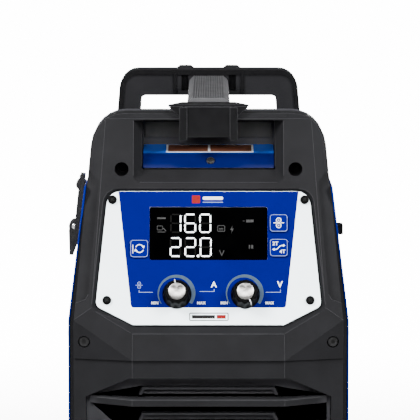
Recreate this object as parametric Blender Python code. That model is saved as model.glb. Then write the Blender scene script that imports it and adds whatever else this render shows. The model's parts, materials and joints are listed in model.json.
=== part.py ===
"""Portable MIG welding machine with its wire spool, feeder, inverter, handle and control panel.

Lengths in this file are in millimetres, and the mesh helpers turn them into metres. X is to the operator's
right, Y runs back from the chin of the front frame, and Z is up from the table. The empty named machine
puts the chin at its place, so that the origin is at the middle of the machine's footprint.
"""

import math

import bmesh
import bpy
from mathutils import Matrix, Vector

MM = 0.001
CLEAR = 0.3  # gap between pieces that rest on or fit into each other

# Overall layout
CHIN_DEPTH = 220.4  # from the chin back to the middle of the footprint
COVER_HALF = 102.0  # half width of the sheet-metal cover below its bend
FRAME_HALF = 97.2  # half width of the moulded end frames
BEND_Z = 190.0  # where the sides start to lean in
COVER_LEAN = 0.124  # inward run of the cover's side for each unit of height
FRAME_LEAN = 0.0925
COVER_TOP = 298.0
COVER_FRONT, COVER_BACK = 36.4, 394.0
SHEET = 1.2
SEAM_Z = 288.0  # the cover's side panels end here beside the end frames
FRAME_BACK = 108.0  # rear edge of the front frame
FRONT_TOP = 339.5
REAR_FRAME_Y = (352.3, 430.0)
REAR_TOP = 312.0
BASE_Z = 11.7
BASE_SHEET = 2.0
FOOT_HEIGHT = 11.4

# Front face: a chin, a leaning control plane above it and an undercut lower face
PANEL_LEAN = math.radians(18)
PANEL_FOOT = (2.8, 184.4)  # depth and height where the control plane starts
CHIN_Z = 165.5
FACE_WALL = 10.0  # thickness of the face, which carries the control plate's ledge
FACE_HALF = 54.7  # half width of the flat middle of the face
CHEEK_Z = 169.4
LOWER_SETBACK = 1.8
BOTTOM_Z = 14.0

# Control plate, in the plane's own coordinates: across, up and out of the plane
PLATE_CORNERS = [(54.2, 7.2, 1.0), (81.1, 21.1, 5.0), (72.8, 105.6, 10.0)]
RIM_CORNERS = [(54.9, 0.4, 1.0), (84.4, 18.2, 6.0), (75.4, 107.2, 11.0)]
THROAT_CORNERS = [(50.0, 13.0, 1.0), (64.0, 21.0, 3.0), (61.0, 100.0, 4.0)]
PLATE_CORNERS_WIDE = [(x + 0.4, v - 0.4 if v < 50 else v + 0.4, r) for x, v, r in PLATE_CORNERS]
PLATE_OUT = -1.5  # the plate's face lies this far behind the frame's plane
PLATE_THICK = 2.0
DISPLAY = (42.3, 55.0, 93.7)  # half width, lower and upper edge
KNOB_UP = 29.4
KNOB_ACROSS = {"wire_speed": -22.7, "voltage": 26.5}
KNOB_RADIUS, KNOB_HEIGHT = 10.3, 10.8
CAP_RADIUS = 6.2
BUTTON_SIDE = 13.4
BUTTONS = {"process_button": (-50.0, 62.9), "wire_inch_button": (50.7, 81.8),
           "trigger_mode_button": (50.7, 63.6)}
PLATE_SCREWS = {"upper_left": (-69.5, 99.2), "upper_right": (69.5, 99.2),
                "lower_left": (-73.1, 25.1), "lower_right": (73.1, 25.1)}

CHIN_SCREW = (89.5, 178.0)
CHIN_SCREW_Y = 15.0
CONNECTOR_FACE_Y = 12.0

# Niche under the front crossbar
NICHE_HALF, NICHE_MOUTH_HALF = 48.5, 54.5
NICHE_Z = (299.5, 335.0)
NICHE_MOUTH_Z = (290.9, 334.9)
NICHE_BACK = 104.5
THROAT_DEPTH = 12.0  # from the face back to the end of the niche's funnel

# Louvre opening and connectors in the lower face
GRILLE_OUTLINE = [(57.0, 152.4), (88.5, 137.8), (88.5, 86.0), (84.0, 82.0)]
SLAT_TOPS = (137.0, 118.4, 99.8)
SLAT_HEIGHT = 5.4
GRILLE_BACK = 28.5  # depth of the panel behind the slats
EURO = (-32.0, 52.0)
SOCKETS = {"positive_socket": (10.0, 48.0), "negative_socket": (42.0, 48.0)}
SOCKET_RADIUS = 14.0

# Handle
GRIP_HALF, GRIP_Z = 15.8, (330.8, 348.8)
GRIP_Y = (84.0, 366.0)
LOOP_Y = (366.4, 404.0)

# Spool door on the left, and its latch
DOOR_Y = (113.2, 338.8)
DOOR_Z = (45.2, 266.8)
DOOR_GAP = 1.2
HINGE_X, HINGE_Z = -104.6, 42.4
HINGE_YS = (150.0, 302.0)
KNUCKLE = 2.4
LATCH_Y = 190.0
LATCH_FOOT_Z = 243.8  # height of the point on the door below the lever's pivot
LATCH_PIVOT_OUT = 7.0
BAIL_PIVOT = (4.8, -8.0)  # out from the door and up from the lever's pivot
KEEPER_UP, KEEPER_OUT, KEEPER_RADIUS = 32.2, 5.8, 4.2

STUD_X = 102.3  # outer face of the strap stud
STUD_Y, STUD_Z = (168.0, 182.0), (239.5, 247.5)

# Wire path
WIRE_X = EURO[0]
ROLL_Y = 120.0
DRIVE_RADIUS, PRESSURE_RADIUS = 15.0, 12.5
DRIVE_Z = EURO[1] - DRIVE_RADIUS
PRESSURE_Z = EURO[1] + 0.8 + PRESSURE_RADIUS
ARM_PIVOT = (92.0, 76.0)
SPOOL_CENTRE = (246.0, 150.0)
SPOOL_RADIUS, SPOOL_BORE = 100.0, 25.4
SPOOL_X = (-60.0, -8.0)
DIVIDER_X = (6.0, 7.5)

# Rear panel
FAN_CENTRE = (42.0, 150.0)
FAN_HALF = 40.0
SWITCH_CENTRE = (-45.0, 250.0)
GLAND_CENTRE = (-62.0, 60.0)
GAS_CENTRE = (-22.0, 48.0)

COLOURS = {
    "black_plastic": ((0.045, 0.045, 0.048), 0.55, 0.0),
    "blue_paint": ((0.01, 0.04, 0.36), 0.18, 0.0),
    "white_plate": ((0.84, 0.90, 0.93), 0.35, 0.0),
    "display_black": ((0.01, 0.01, 0.012), 0.1, 0.0),
    "knob_black": ((0.02, 0.02, 0.022), 0.35, 0.0),
    "aluminium": ((0.75, 0.75, 0.76), 0.3, 1.0),
    "steel": ((0.55, 0.56, 0.58), 0.35, 1.0),
    "rubber": ((0.03, 0.03, 0.03), 0.8, 0.0),
    "grip_grey": ((0.2, 0.2, 0.21), 0.75, 0.0),
    "brass": ((0.72, 0.5, 0.2), 0.3, 1.0),
    "circuit_board": ((0.02, 0.16, 0.07), 0.5, 0.0),
    "copper_wire": ((0.72, 0.36, 0.2), 0.35, 1.0),
    "spool_plastic": ((0.06, 0.06, 0.065), 0.5, 0.0),
    "button_blue": ((0.01, 0.03, 0.42), 0.3, 0.0),
}


for old in list(bpy.data.objects):
    bpy.data.objects.remove(old)
MACHINE = bpy.data.objects.new("machine", None)
MACHINE.location = (0.0, -CHIN_DEPTH * MM, 0.0)
bpy.context.scene.collection.objects.link(MACHINE)


# ---------------------------------------------------------------- geometry helpers


def panel_y(z):
    """Depth of the control plane at height z."""
    return PANEL_FOOT[0] + (z - PANEL_FOOT[1]) * math.tan(PANEL_LEAN)


def plane_depth(p, q, r):
    """The depth of the plane through three points, as a function of x and z."""
    normal = (Vector(q) - Vector(p)).cross(Vector(r) - Vector(p))
    return lambda x, z: p[1] - (normal.x * (x - p[0]) + normal.z * (z - p[2])) / normal.y


def cover_half(z, inset=0.0):
    """Half width of the cover at height z."""
    return COVER_HALF - max(0.0, z - BEND_Z) * COVER_LEAN - inset


def frame_half(z, inset=0.0):
    """Half width of the end frames at height z."""
    return FRAME_HALF - max(0.0, z - BEND_Z) * FRAME_LEAN - inset


def rounded(corners, steps=4):
    """A closed outline from (across, up, radius) corners, with each corner turned as an arc."""
    points = []
    for i, (x, z, radius) in enumerate(corners):
        here = Vector((x, z))
        before = (Vector(corners[i - 1][:2]) - here).normalized()
        after = (Vector(corners[(i + 1) % len(corners)][:2]) - here).normalized()
        if radius <= 0:
            points.append(tuple(here))
            continue
        half_angle = before.angle(after) / 2
        centre = here + (before + after).normalized() * radius / math.sin(half_angle)
        start = here + before * radius / math.tan(half_angle) - centre
        end = here + after * radius / math.tan(half_angle) - centre
        for k in range(steps + 1):
            spoke = start.slerp(end, k / steps).normalized() * radius
            points.append(tuple(centre + spoke))
    return points


def mirrored(half):
    """A whole outline from its right half, listed from the bottom up, turning anticlockwise."""
    return list(half) + [(-p[0], *p[1:]) for p in reversed(half)]


def circle(radius, count, centre=(0.0, 0.0)):
    angles = [math.tau * k / count for k in range(count)]
    return [(centre[0] + radius * math.cos(a), centre[1] + radius * math.sin(a)) for a in angles]


def rectangle(low, high):
    return [(low[0], low[1]), (high[0], low[1]), (high[0], high[1]), (low[0], high[1])]


# ---------------------------------------------------------------- object helpers


def material(name):
    """The named finish from COLOURS, made once."""
    found = bpy.data.materials.get(name)
    if found:
        return found
    colour, roughness, metallic = COLOURS[name]
    made = bpy.data.materials.new(name)
    made.use_nodes = True
    shader = made.node_tree.nodes["Principled BSDF"]
    shader.inputs["Base Color"].default_value = (*colour, 1.0)
    shader.inputs["Roughness"].default_value = roughness
    shader.inputs["Metallic"].default_value = metallic
    made.diffuse_color = (*colour, 1.0)
    return made


def loft(name, rings, finish="black_plastic"):
    """A closed solid through rings of points, each with the same number of points, in millimetres."""
    mesh = bpy.data.meshes.new(name)
    shape = bmesh.new()
    rows = [[shape.verts.new(Vector(p) * MM) for p in ring] for ring in rings]
    for lower, upper in zip(rows, rows[1:]):
        for k in range(len(lower)):
            n = (k + 1) % len(lower)
            shape.faces.new((lower[k], lower[n], upper[n], upper[k]))
    shape.faces.new(list(reversed(rows[0])))
    shape.faces.new(rows[-1])
    bmesh.ops.recalc_face_normals(shape, faces=shape.faces)
    shape.to_mesh(mesh)
    shape.free()
    mesh.materials.append(material(finish))
    obj = bpy.data.objects.new(name, mesh)
    bpy.context.scene.collection.objects.link(obj)
    obj.parent = MACHINE
    return obj


def along_y(name, outline, y_low, y_high, finish="black_plastic"):
    """An outline of (x, z) points, extruded from y_low to y_high."""
    return loft(name, [[(x, y, z) for x, z in outline] for y in (y_low, y_high)], finish)


def along_x(name, outline, x_low, x_high, finish="black_plastic"):
    """An outline of (y, z) points, extruded from x_low to x_high."""
    return loft(name, [[(x, y, z) for y, z in outline] for x in (x_low, x_high)], finish)


def along_z(name, outline, z_low, z_high, finish="black_plastic"):
    """An outline of (x, y) points, extruded from z_low to z_high."""
    return loft(name, [[(x, y, z) for x, y in outline] for z in (z_low, z_high)], finish)


def box(name, low, high, finish="black_plastic"):
    outline = rectangle((low[0], low[1]), (high[0], high[1]))
    return along_z(name, outline, low[2], high[2], finish)


def turned(name, profile, count, placed, finish="black_plastic"):
    """A turned solid. The profile is (distance along the axis, radius), and placed maps (a, b, along)."""
    rings = [[placed(a, b, along) for a, b in circle(radius, count)] for along, radius in profile]
    return loft(name, rings, finish)


def on_y(x, z):
    """Places a turned profile on an axis along Y through (x, z)."""
    return lambda a, b, along: (x + a, along, z + b)


def on_x(y, z):
    return lambda a, b, along: (along, y + a, z + b)


def on_z(x, y):
    return lambda a, b, along: (x + a, y + b, along)


def settle(obj):
    """Puts the result of the object's modifiers in its mesh."""
    bpy.context.view_layer.update()
    evaluated = obj.evaluated_get(bpy.context.evaluated_depsgraph_get())
    mesh = bpy.data.meshes.new_from_object(evaluated)
    obj.modifiers.clear()
    obj.data = mesh


def combine(operation, obj, *tools):
    for tool in tools:
        modifier = obj.modifiers.new(operation.title(), "BOOLEAN")
        modifier.operation = operation
        modifier.solver = "EXACT"
        modifier.object = tool
        settle(obj)
        bpy.data.objects.remove(tool)
    return obj


def cut(obj, *tools):
    """Cuts each tool's shape out of the object."""
    return combine("DIFFERENCE", obj, *tools)


def join(obj, *tools):
    """Adds each tool's shape to the object."""
    return combine("UNION", obj, *tools)


def trim(obj, point, normal):
    """Cuts away what lies in front of the plane through the point, on the side that the normal points to."""
    shape = bmesh.new()
    shape.from_mesh(obj.data)
    geometry = list(shape.verts) + list(shape.edges) + list(shape.faces)
    made = bmesh.ops.bisect_plane(shape, geom=geometry, plane_co=Vector(point) * MM,
                                  plane_no=Vector(normal), clear_outer=True, dist=1e-7)
    rim = [e for e in made["geom_cut"] if isinstance(e, bmesh.types.BMEdge)]
    bmesh.ops.edgenet_fill(shape, edges=rim)
    bmesh.ops.recalc_face_normals(shape, faces=shape.faces)
    shape.to_mesh(obj.data)
    shape.free()
    return obj


def trim_to_depth(obj, p, q, r, inward=0.0):
    """Cuts away what lies in front of the plane through three points, moved back by inward."""
    normal = (Vector(q) - Vector(p)).cross(Vector(r) - Vector(p)).normalized()
    if normal.y > 0:
        normal = -normal
    return trim(obj, Vector(p) - normal * inward, normal)


def pivot(point, *objs):
    """Moves the objects' origins to a point on their joint's axis, and leaves their shapes in place."""
    for obj in objs:
        offset = Vector(point) * MM
        obj.data.transform(Matrix.Translation(-offset))
        obj.location = offset
    return objs[0]


def smooth(*objs, angle=35.0):
    for obj in objs:
        obj.data.shade_smooth()
        obj.data.set_sharp_from_angle(angle=math.radians(angle))


# ---------------------------------------------------------------- end frames and casing


def frame_outline(top, radius, z_low=BOTTOM_Z, inset=0.0):
    """Outline of an end frame from z_low up to its rounded top corners."""
    low_corner = [(90.0 - inset, z_low + inset, 0.0), (FRAME_HALF - inset, z_low + 16.0, 0.0)]
    high_corner = (frame_half(top, inset), top - inset, radius)
    right = low_corner + [(FRAME_HALF - inset, BEND_Z, 0.0), high_corner]
    left = [(-x, z, r) for x, z, r in reversed(right)]
    return rounded(right + left, 6)


def flange_outline(inset):
    """Outline of an end frame's flange, just inside the cover."""
    right = [(cover_half(0, inset) - 4.0, BOTTOM_Z + inset), (cover_half(0, inset), BOTTOM_Z + 6.0 + inset),
             (cover_half(0, inset), BEND_Z), (cover_half(SEAM_Z, inset), SEAM_Z - inset + SHEET)]
    return mirrored(right)


FACE = {
    "chin_low": (FACE_HALF, 0.0, CHIN_Z),
    "chin_high": (FACE_HALF, PANEL_FOOT[0], PANEL_FOOT[1]),
    "rim_corner": (84.0, panel_y(203.0), 203.0),
    "fold_top": (76.0, panel_y(318.0), 318.0),
    "edge_low": (FRAME_HALF - 0.4, 8.9, 194.0),
    "edge_under": (FRAME_HALF, 13.0, CHEEK_Z),
    "lower_top": (FACE_HALF, LOWER_SETBACK, CHIN_Z),
    "lower_foot": (FACE_HALF, 12.0, BOTTOM_Z),
    "lower_edge": (FRAME_HALF, 13.0 + LOWER_SETBACK, CHEEK_Z),
}


def on_both_sides(*names):
    """The named face points on the right, and the same points on the left."""
    right = [FACE[name] for name in names]
    return right, [(-x, y, z) for x, y, z in right]


def shaped_face(upper, lower, inward=0.0):
    """Trims the upper and lower solids of the front frame to the facets of its face."""
    middle = [FACE["chin_low"], FACE["chin_high"], (-FACE_HALF, 0.0, CHIN_Z)]
    trim_to_depth(upper, *middle, inward)
    trim(upper, (0, PANEL_FOOT[0] + inward / math.cos(PANEL_LEAN), PANEL_FOOT[1]),
         (0, -math.cos(PANEL_LEAN), math.sin(PANEL_LEAN)))
    for side in on_both_sides("chin_low", "rim_corner", "edge_low"):
        trim_to_depth(upper, *side, inward)
    for side in on_both_sides("rim_corner", "fold_top", "edge_low"):
        trim_to_depth(upper, *side, inward)
    trim_to_depth(lower, FACE["lower_top"], FACE["lower_foot"], (-FACE_HALF, 12.0, BOTTOM_Z), inward)
    for side in on_both_sides("lower_top", "lower_foot", "lower_edge"):
        trim_to_depth(lower, *side, inward)


def face_cutter(name, outline, depth_of, deeper=0.0):
    """A cutter over an (x, z) outline, from well in front of the face to a given depth."""
    front = [(x, -40.0, z) for x, z in outline]
    back = [(x, depth_of(x, z) + deeper, z) for x, z in outline]
    return loft(name, [front, back])


def panel_ring(corners, out, steps=4):
    """A rounded outline on the control plane, as points in the machine's own coordinates."""
    half = [(x, v, r) for x, v, r in corners]
    whole = half + [(-x, v, r) for x, v, r in reversed(half)]
    return [on_panel(u, v, out) for u, v in rounded(whole, steps)]


def on_panel(u, v, out):
    """A point of the control plane: u across, v up the plane and out along its normal."""
    return (u, PANEL_FOOT[0] + v * math.sin(PANEL_LEAN) - out * math.cos(PANEL_LEAN),
            PANEL_FOOT[1] + v * math.cos(PANEL_LEAN) + out * math.sin(PANEL_LEAN))


def frame_blocks(inset, back, inward):
    """The upper and lower solids of the front frame, or its hollow when inset is above 0."""
    outline = frame_outline(FRONT_TOP, 24.0 - inset, inset=inset)
    upper = along_y("front_frame", outline, -30.0, back)
    trim(upper, (0, 0, CHIN_Z), (0, 0, -1))
    lower_outline = mirrored([(90.0 - inset, BOTTOM_Z + inset), (FRAME_HALF - inset, BOTTOM_Z + 16.0),
                              (FRAME_HALF - inset, CHEEK_Z + 1.0), (FACE_HALF, CHIN_Z + 1.0)])
    lower = along_y("lower_face", lower_outline, -30.0, back)
    shaped_face(upper, lower, inward)
    return upper, lower


def cut_corner_facets(frame):
    """The dark facets beside the chin that hold the frame's screws."""
    for side, (low, edge, under) in zip((1, -1), on_both_sides("chin_low", "edge_low", "edge_under")):
        depth_of = plane_depth(low, edge, under)
        slope = (edge[2] - low[2]) / (FRAME_HALF - FACE_HALF)
        under_slope = (under[2] - low[2]) / (FRAME_HALF - FACE_HALF)
        reach = 60.0
        outline = [(low[0], CHIN_Z - 0.2), (low[0] + side * reach, CHIN_Z - 0.2 + under_slope * reach - 8.0),
                   (low[0] + side * reach, CHIN_Z + slope * reach)]
        cut(frame, face_cutter("corner_facet", outline, depth_of))


def cut_cheeks(frame):
    """Shallow steps along both edges of the frame, outside the control plate."""
    outline = [(88.5, 302.0), (79.4, 291.0), (86.4, 212.0), (88.5, 208.5), (96.0, 205.5), (112.0, 205.5),
               (112.0, 302.0)]
    for side, fold in zip((1, -1), on_both_sides("rim_corner", "fold_top", "edge_low")):
        points = [(side * x, z) for x, z in outline]
        cut(frame, face_cutter("cheek", points, plane_depth(*fold), deeper=3.0))


def back_wall(top, y_low, y_high):
    """Wall that closes an end frame above the cover's roof."""
    wall = along_y("back_wall", frame_outline(top, 22.0, inset=1.6), y_low, y_high)
    return trim(wall, (0, 0, COVER_TOP + 0.6), (0, 0, -1))


def niche_ring(half, low, high, radius, depth):
    """Outline of the niche at a depth behind the control plane, with rounded lower corners."""
    outline = rounded([(half, low, radius), (half, high, 0.5), (-half, high, 0.5), (-half, low, radius)])
    return [(x, panel_y(z) + depth, z) for x, z in outline]


def front_frame():
    """Moulded front end frame: face, rim round the control plate, niche, louvre opening and connector pad."""
    upper, lower = frame_blocks(0.0, FRAME_BACK, 0.0)
    cut_corner_facets(upper)
    flange = along_y("flange", flange_outline(SHEET + CLEAR), COVER_FRONT + 0.6, FRAME_BACK)
    frame = join(upper, lower, flange)
    trim(frame, (0, panel_y(336.0), 336.0), (0, -0.7, 0.7))
    hollow, lower_hollow = frame_blocks(3.2, FRAME_BACK + 20.0, FACE_WALL)
    flange_hollow = along_y("flange_hollow", flange_outline(SHEET + 3.0), COVER_FRONT + 7.0,
                            FRAME_BACK + 20.0)
    cut(frame, hollow, lower_hollow, flange_hollow)
    join(frame, back_wall(FRONT_TOP, FRAME_BACK - 3.0, FRAME_BACK))
    block_z = (286.0, FRONT_TOP - 0.4)
    block = [(panel_y(block_z[0]) + 1.0, block_z[0]), (FRAME_BACK, block_z[0]),
             (FRAME_BACK, block_z[1]), (panel_y(block_z[1]) + 1.0, block_z[1])]
    join(frame, along_x("niche_block", block, -57.5, 57.5))
    low, high = NICHE_MOUTH_Z
    reach = 1.2  # how far the cutter starts in front of the face
    mouth = niche_ring(NICHE_MOUTH_HALF + 0.6, low - 0.9, high, 5.0, -reach)
    throat = niche_ring(NICHE_HALF, NICHE_Z[0], NICHE_Z[1] - 0.2, 2.0, THROAT_DEPTH)
    cut(frame, loft("niche_mouth", [mouth, throat]),
        box("niche", (-NICHE_HALF, panel_y(NICHE_Z[0]) + THROAT_DEPTH - 1.0, NICHE_Z[0]),
            (NICHE_HALF, NICHE_BACK, NICHE_Z[1])))
    for side in (-1, 1):
        low, high = sorted((side * 21.0, side * 47.0))
        join(frame, box("wall_pad", (low, NICHE_BACK - 1.5, 318.8), (high, NICHE_BACK + 0.5, 330.6)))
    rim = loft("plate_rim", [panel_ring(PLATE_CORNERS_WIDE, PLATE_OUT - PLATE_THICK - CLEAR),
                             panel_ring(RIM_CORNERS, 0.0), panel_ring(RIM_CORNERS, 6.0)])
    cut(frame, rim,
        loft("plate_throat", [panel_ring(THROAT_CORNERS, -20.0), panel_ring(THROAT_CORNERS, 5.0)]))
    cut_cheeks(frame)
    opening = mirrored(list(reversed(GRILLE_OUTLINE)))
    cut(frame, along_y("grille_opening", opening, -20.0, 60.0))
    for side in (-1, 1):
        post, chin = (side * 63.0, 300.0), (side * CHIN_SCREW[0], CHIN_SCREW[1])
        join(frame, turned("post_boss", [(46.0, 8.0), (96.0, 8.0)], 16, on_y(*post)),
             turned("chin_boss", [(15.0, 6.5), (38.0, 6.5)], 16, on_y(*chin)))
        cut(frame, turned("post_hole", [(10.0, 5.1), (88.0, 5.1)], 20, on_y(*post)),
            turned("chin_counterbore", [(0.0, 4.4), (CHIN_SCREW_Y, 4.4)], 20, on_y(*chin)),
            turned("chin_hole", [(0.0, 2.3), (45.0, 2.3)], 12, on_y(*chin)))
    for u, v in PLATE_SCREWS.values():
        cut(frame, turned("plate_screw_hole", [(-12.0, 1.9), (2.0, 1.9)], 10, at_panel(u, v)))
    join(frame, box("connector_pad", (-55.5, 8.0, 26.0), (57.5, 20.0, 78.0)))
    cut(frame, box("connector_flat", (-56.0, -10.0, 25.0), (58.0, CONNECTOR_FACE_Y, 79.0)),
        turned("euro_hole", [(-5.0, 17.0), (60.0, 17.0)], 24, on_y(*EURO)),
        *(turned("socket_hole", [(-5.0, 10.5), (60.0, 10.5)], 20, on_y(*c)) for c in SOCKETS.values()))
    return frame


def hood_panel():
    """Glossy blue moulding on the floor of the niche: a front slope and a nearly level top."""
    outline = [(49.6, 300.0), (62.0, 312.5), (103.6, 313.6), (103.6, 300.0)]
    inner = [(53.6, 299.0), (63.0, 310.2), (101.6, 311.2), (101.6, 299.0)]
    half = NICHE_HALF - 0.5
    hood = along_x("hood_panel", outline, -half, half, "blue_paint")
    return cut(hood, along_x("hood_hollow", inner, 2.2 - half, half - 2.2))


def front_grille():
    """Insert of the louvre opening: three swept slats with a sloping hood behind each gap."""
    ends = ((-85.5, 11.0, 1.4), (-55.0, 0.0, 0.0), (55.0, 0.0, 0.0), (85.5, 11.0, 1.4))
    back = [(x, z + math.copysign(3.0, z - 100.0)) for x, z in reversed(GRILLE_OUTLINE)]
    grille = along_y("front_grille", mirrored(back), GRILLE_BACK, GRILLE_BACK + 2.5)
    for top in SLAT_TOPS:
        face = 3.0 + (CHIN_Z - top) * 0.067
        rings = []
        for x, setback, rise in ends:
            y, z = face + setback, top + rise
            rings.append([(x, y, z - 0.8), (x, y + 1.0, z), (x, GRILLE_BACK + 1.0, z - 1.6),
                          (x, GRILLE_BACK + 1.0, z - SLAT_HEIGHT - 1.0), (x, y + 1.0, z - SLAT_HEIGHT)])
        join(grille, loft("slat", rings))
        border = [(-50.6, top + 1.0), (-48.0, top + 6.6), (48.0, top + 6.6), (50.6, top + 1.0)]
        inner = [(-48.4, top + 0.2), (-46.2, top + 4.8), (46.2, top + 4.8), (48.4, top + 0.2)]
        rim = along_y("border", border, GRILLE_BACK - 9.0, GRILLE_BACK + 1.0)
        join(grille, cut(rim, along_y("border_inside", inner, GRILLE_BACK - 12.0, GRILLE_BACK - 2.0)))
    return grille


def rear_frame():
    """Moulded rear end frame with the fan grille and the holes for the switch, gland and gas inlet."""
    low, high = REAR_FRAME_Y
    outline = frame_outline(REAR_TOP, 24.0)
    frame = along_y("rear_frame", outline, low, high)
    trim(frame, (0, high, REAR_TOP - 14.0), (0, 0.7, 0.7))
    for side in (-1, 1):
        trim(frame, (side * (FRAME_HALF - 12.0), high, 0), (side * 0.7, 0.7, 0))
    flange = along_y("flange", flange_outline(SHEET + CLEAR), low, COVER_BACK - 0.6)
    join(frame, flange)
    hollow = along_y("hollow", frame_outline(REAR_TOP, 21.0, inset=3.2), low - 10.0, high - 3.4)
    trim(hollow, (0, high - 3.4, REAR_TOP - 17.4), (0, 0.7, 0.7))
    for side in (-1, 1):
        trim(hollow, (side * (FRAME_HALF - 15.4), high - 3.4, 0), (side * 0.7, 0.7, 0))
    join(cut(frame, hollow), back_wall(REAR_TOP, low, low + 3.0))
    for k in range(9):
        z = FAN_CENTRE[1] - 34.0 + k * 8.5
        half = math.sqrt(37.0 ** 2 - (z - FAN_CENTRE[1]) ** 2)
        slot = rectangle((FAN_CENTRE[0] - half, z - 2.6), (FAN_CENTRE[0] + half, z + 2.6))
        cut(frame, along_y("fan_slot", slot, high - 10.0, high + 10.0))
    cut(frame, along_y("switch_hole", rectangle((SWITCH_CENTRE[0] - 13.8, SWITCH_CENTRE[1] - 11.3),
                                                (SWITCH_CENTRE[0] + 13.8, SWITCH_CENTRE[1] + 11.3)),
                       high - 10.0, high + 10.0),
        turned("gland_hole", [(high - 10, 9.3), (high + 10, 9.3)], 20, on_y(*GLAND_CENTRE)),
        turned("gas_hole", [(high - 10, 6.3), (high + 10, 6.3)], 16, on_y(*GAS_CENTRE)))
    return frame


def base_pan():
    """Floor sheet with upturned edges, slotted under the inverter."""
    pan = box("base_pan", (-89.0, 31.0, BASE_Z), (89.0, 422.0, BASE_Z + BASE_SHEET), "steel")
    for side in (-1, 1):
        low, high = sorted((side * 98.4, side * 100.4))
        wide = sorted((side * 88.0, side * 100.4))
        join(pan, box("side_flange", (low, FRAME_BACK + 2.0, BASE_Z), (high, REAR_FRAME_Y[0] - 2.0, 34.0)),
             box("side_floor", (wide[0], FRAME_BACK + 2.0, BASE_Z),
                 (wide[1], REAR_FRAME_Y[0] - 2.0, BASE_Z + BASE_SHEET)))
    for slot_x in (30.0, 52.0, 74.0):
        cut(pan, box("air_slot", (slot_x, 150.0, 0.0), (slot_x + 6.0, 300.0, 30.0)))
    return pan


def top_cover():
    """The bent sheet cover: a roof and two sides, with the door opening in the left side."""
    def half_section(inset):
        return [(cover_half(BASE_Z, inset), BASE_Z + 0.5),
                (cover_half(BEND_Z, inset), BEND_Z - inset * 0.07),
                (cover_half(COVER_TOP - 6.0, inset), COVER_TOP - 6.0 - inset * 0.3),
                (cover_half(COVER_TOP, inset) - 6.0, COVER_TOP - inset)]

    outline = mirrored(half_section(0.0)) + list(reversed(mirrored(half_section(SHEET))))
    cover = along_y("top_cover", outline, COVER_FRONT, COVER_BACK, "blue_paint")
    roof_gap = 0.4
    cut(cover, box("front_roof", (-120, 0, SEAM_Z), (120, FRAME_BACK + roof_gap, 320)),
        box("rear_roof", (-120, REAR_FRAME_Y[0] - roof_gap, SEAM_Z), (120, 500, 320)),
        box("door_opening", (-120, DOOR_Y[0] - DOOR_GAP, DOOR_Z[0] - DOOR_GAP),
            (-80, DOOR_Y[1] + DOOR_GAP, DOOR_Z[1] + DOOR_GAP)))
    for row in range(7):
        z = 100.0 + row * 13.0
        for y in (150.0, 200.0, 250.0):
            cut(cover, box("side_vent", (90, y, z), (110, y + 40.0, z + 4.2)))
    return cover


def spool_door():
    """Bottom-hinged door of the spool compartment, bent like the cover around it."""
    low, high = DOOR_Z

    def skin(inset):
        return [(-cover_half(low, inset), low), (-cover_half(BEND_Z, inset), BEND_Z),
                (-cover_half(high, inset), high)]

    outline = skin(0.0) + list(reversed(skin(SHEET)))
    door = along_y("spool_door", outline, *DOOR_Y, "blue_paint")
    hem = skin(SHEET - 0.2) + list(reversed(skin(SHEET + 9.0)))
    join(door, along_y("front_hem", hem, DOOR_Y[0], DOOR_Y[0] + 1.6),
         along_y("rear_hem", hem, DOOR_Y[1] - 1.6, DOOR_Y[1]))
    for y in HINGE_YS:
        strap = [(HINGE_X + 0.8, HINGE_Z), (-COVER_HALF - CLEAR, HINGE_Z), (-COVER_HALF - CLEAR, low),
                 (-COVER_HALF + 0.2, low + 0.4), (-COVER_HALF + 0.2, low + 12.0),
                 (HINGE_X + 0.8, low + 12.0)]
        join(door, along_y("strap", strap, y - 9.0, y + 9.0),
             turned("knuckle", [(y - 9.0, KNUCKLE), (y + 9.0, KNUCKLE)], 14, on_y(HINGE_X, HINGE_Z)))
        cut(door, turned("knuckle_bore", [(y - 20.0, 1.4), (y + 20.0, 1.4)], 12, on_y(HINGE_X, HINGE_Z)))
    return pivot((HINGE_X, sum(DOOR_Y) / 2, HINGE_Z), door)


def hinge_leaf():
    """Fixed leaf of the door's hinge, with the pin through its knuckles."""
    leaf = box("hinge_leaf", (-103.8, 128.0, 20.0), (-102.3, 324.0, HINGE_Z), "steel")
    join(leaf, turned("leaf_knuckle", [(128.0, KNUCKLE), (324.0, KNUCKLE)], 14, on_y(HINGE_X, HINGE_Z)))
    for y in HINGE_YS:
        cut(leaf, box("knuckle_gap", (-110, y - 9.5, HINGE_Z - 3.4), (-100, y + 9.5, 60)))
    return join(leaf, turned("hinge_pin", [(127.0, 1.1), (325.0, 1.1)], 12, on_y(HINGE_X, HINGE_Z), "steel"))


def divider_panel():
    """Upright sheet between the wire compartment and the inverter."""
    panel = box("divider_panel", (DIVIDER_X[0], FRAME_BACK + 3.0, BASE_Z + BASE_SHEET + CLEAR),
                (DIVIDER_X[1], REAR_FRAME_Y[0] - 3.0, 292.0), "steel")
    cut(panel, turned("shaft_hole", [(0.0, 6.0), (12.0, 6.0)], 16, on_x(ROLL_Y, DRIVE_Z)),
        turned("hub_hole", [(0.0, 5.0), (12.0, 5.0)], 12, on_x(*SPOOL_CENTRE)))
    return panel


def feet():
    for end, y in (("front", 48.0), ("rear", 400.0)):
        for side, x in (("left", -74.0), ("right", 74.0)):
            turned(f"foot_{end}_{side}", [(0.0, 10.0), (1.0, 11.0), (FOOT_HEIGHT, 13.0)], 24, on_z(x, y),
                   "rubber")


# ---------------------------------------------------------------- control panel


def at_panel(u, v):
    """Places a turned profile on the control plane's normal through (u, v)."""
    return lambda a, b, along: on_panel(u + a, v + b, along)


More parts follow.
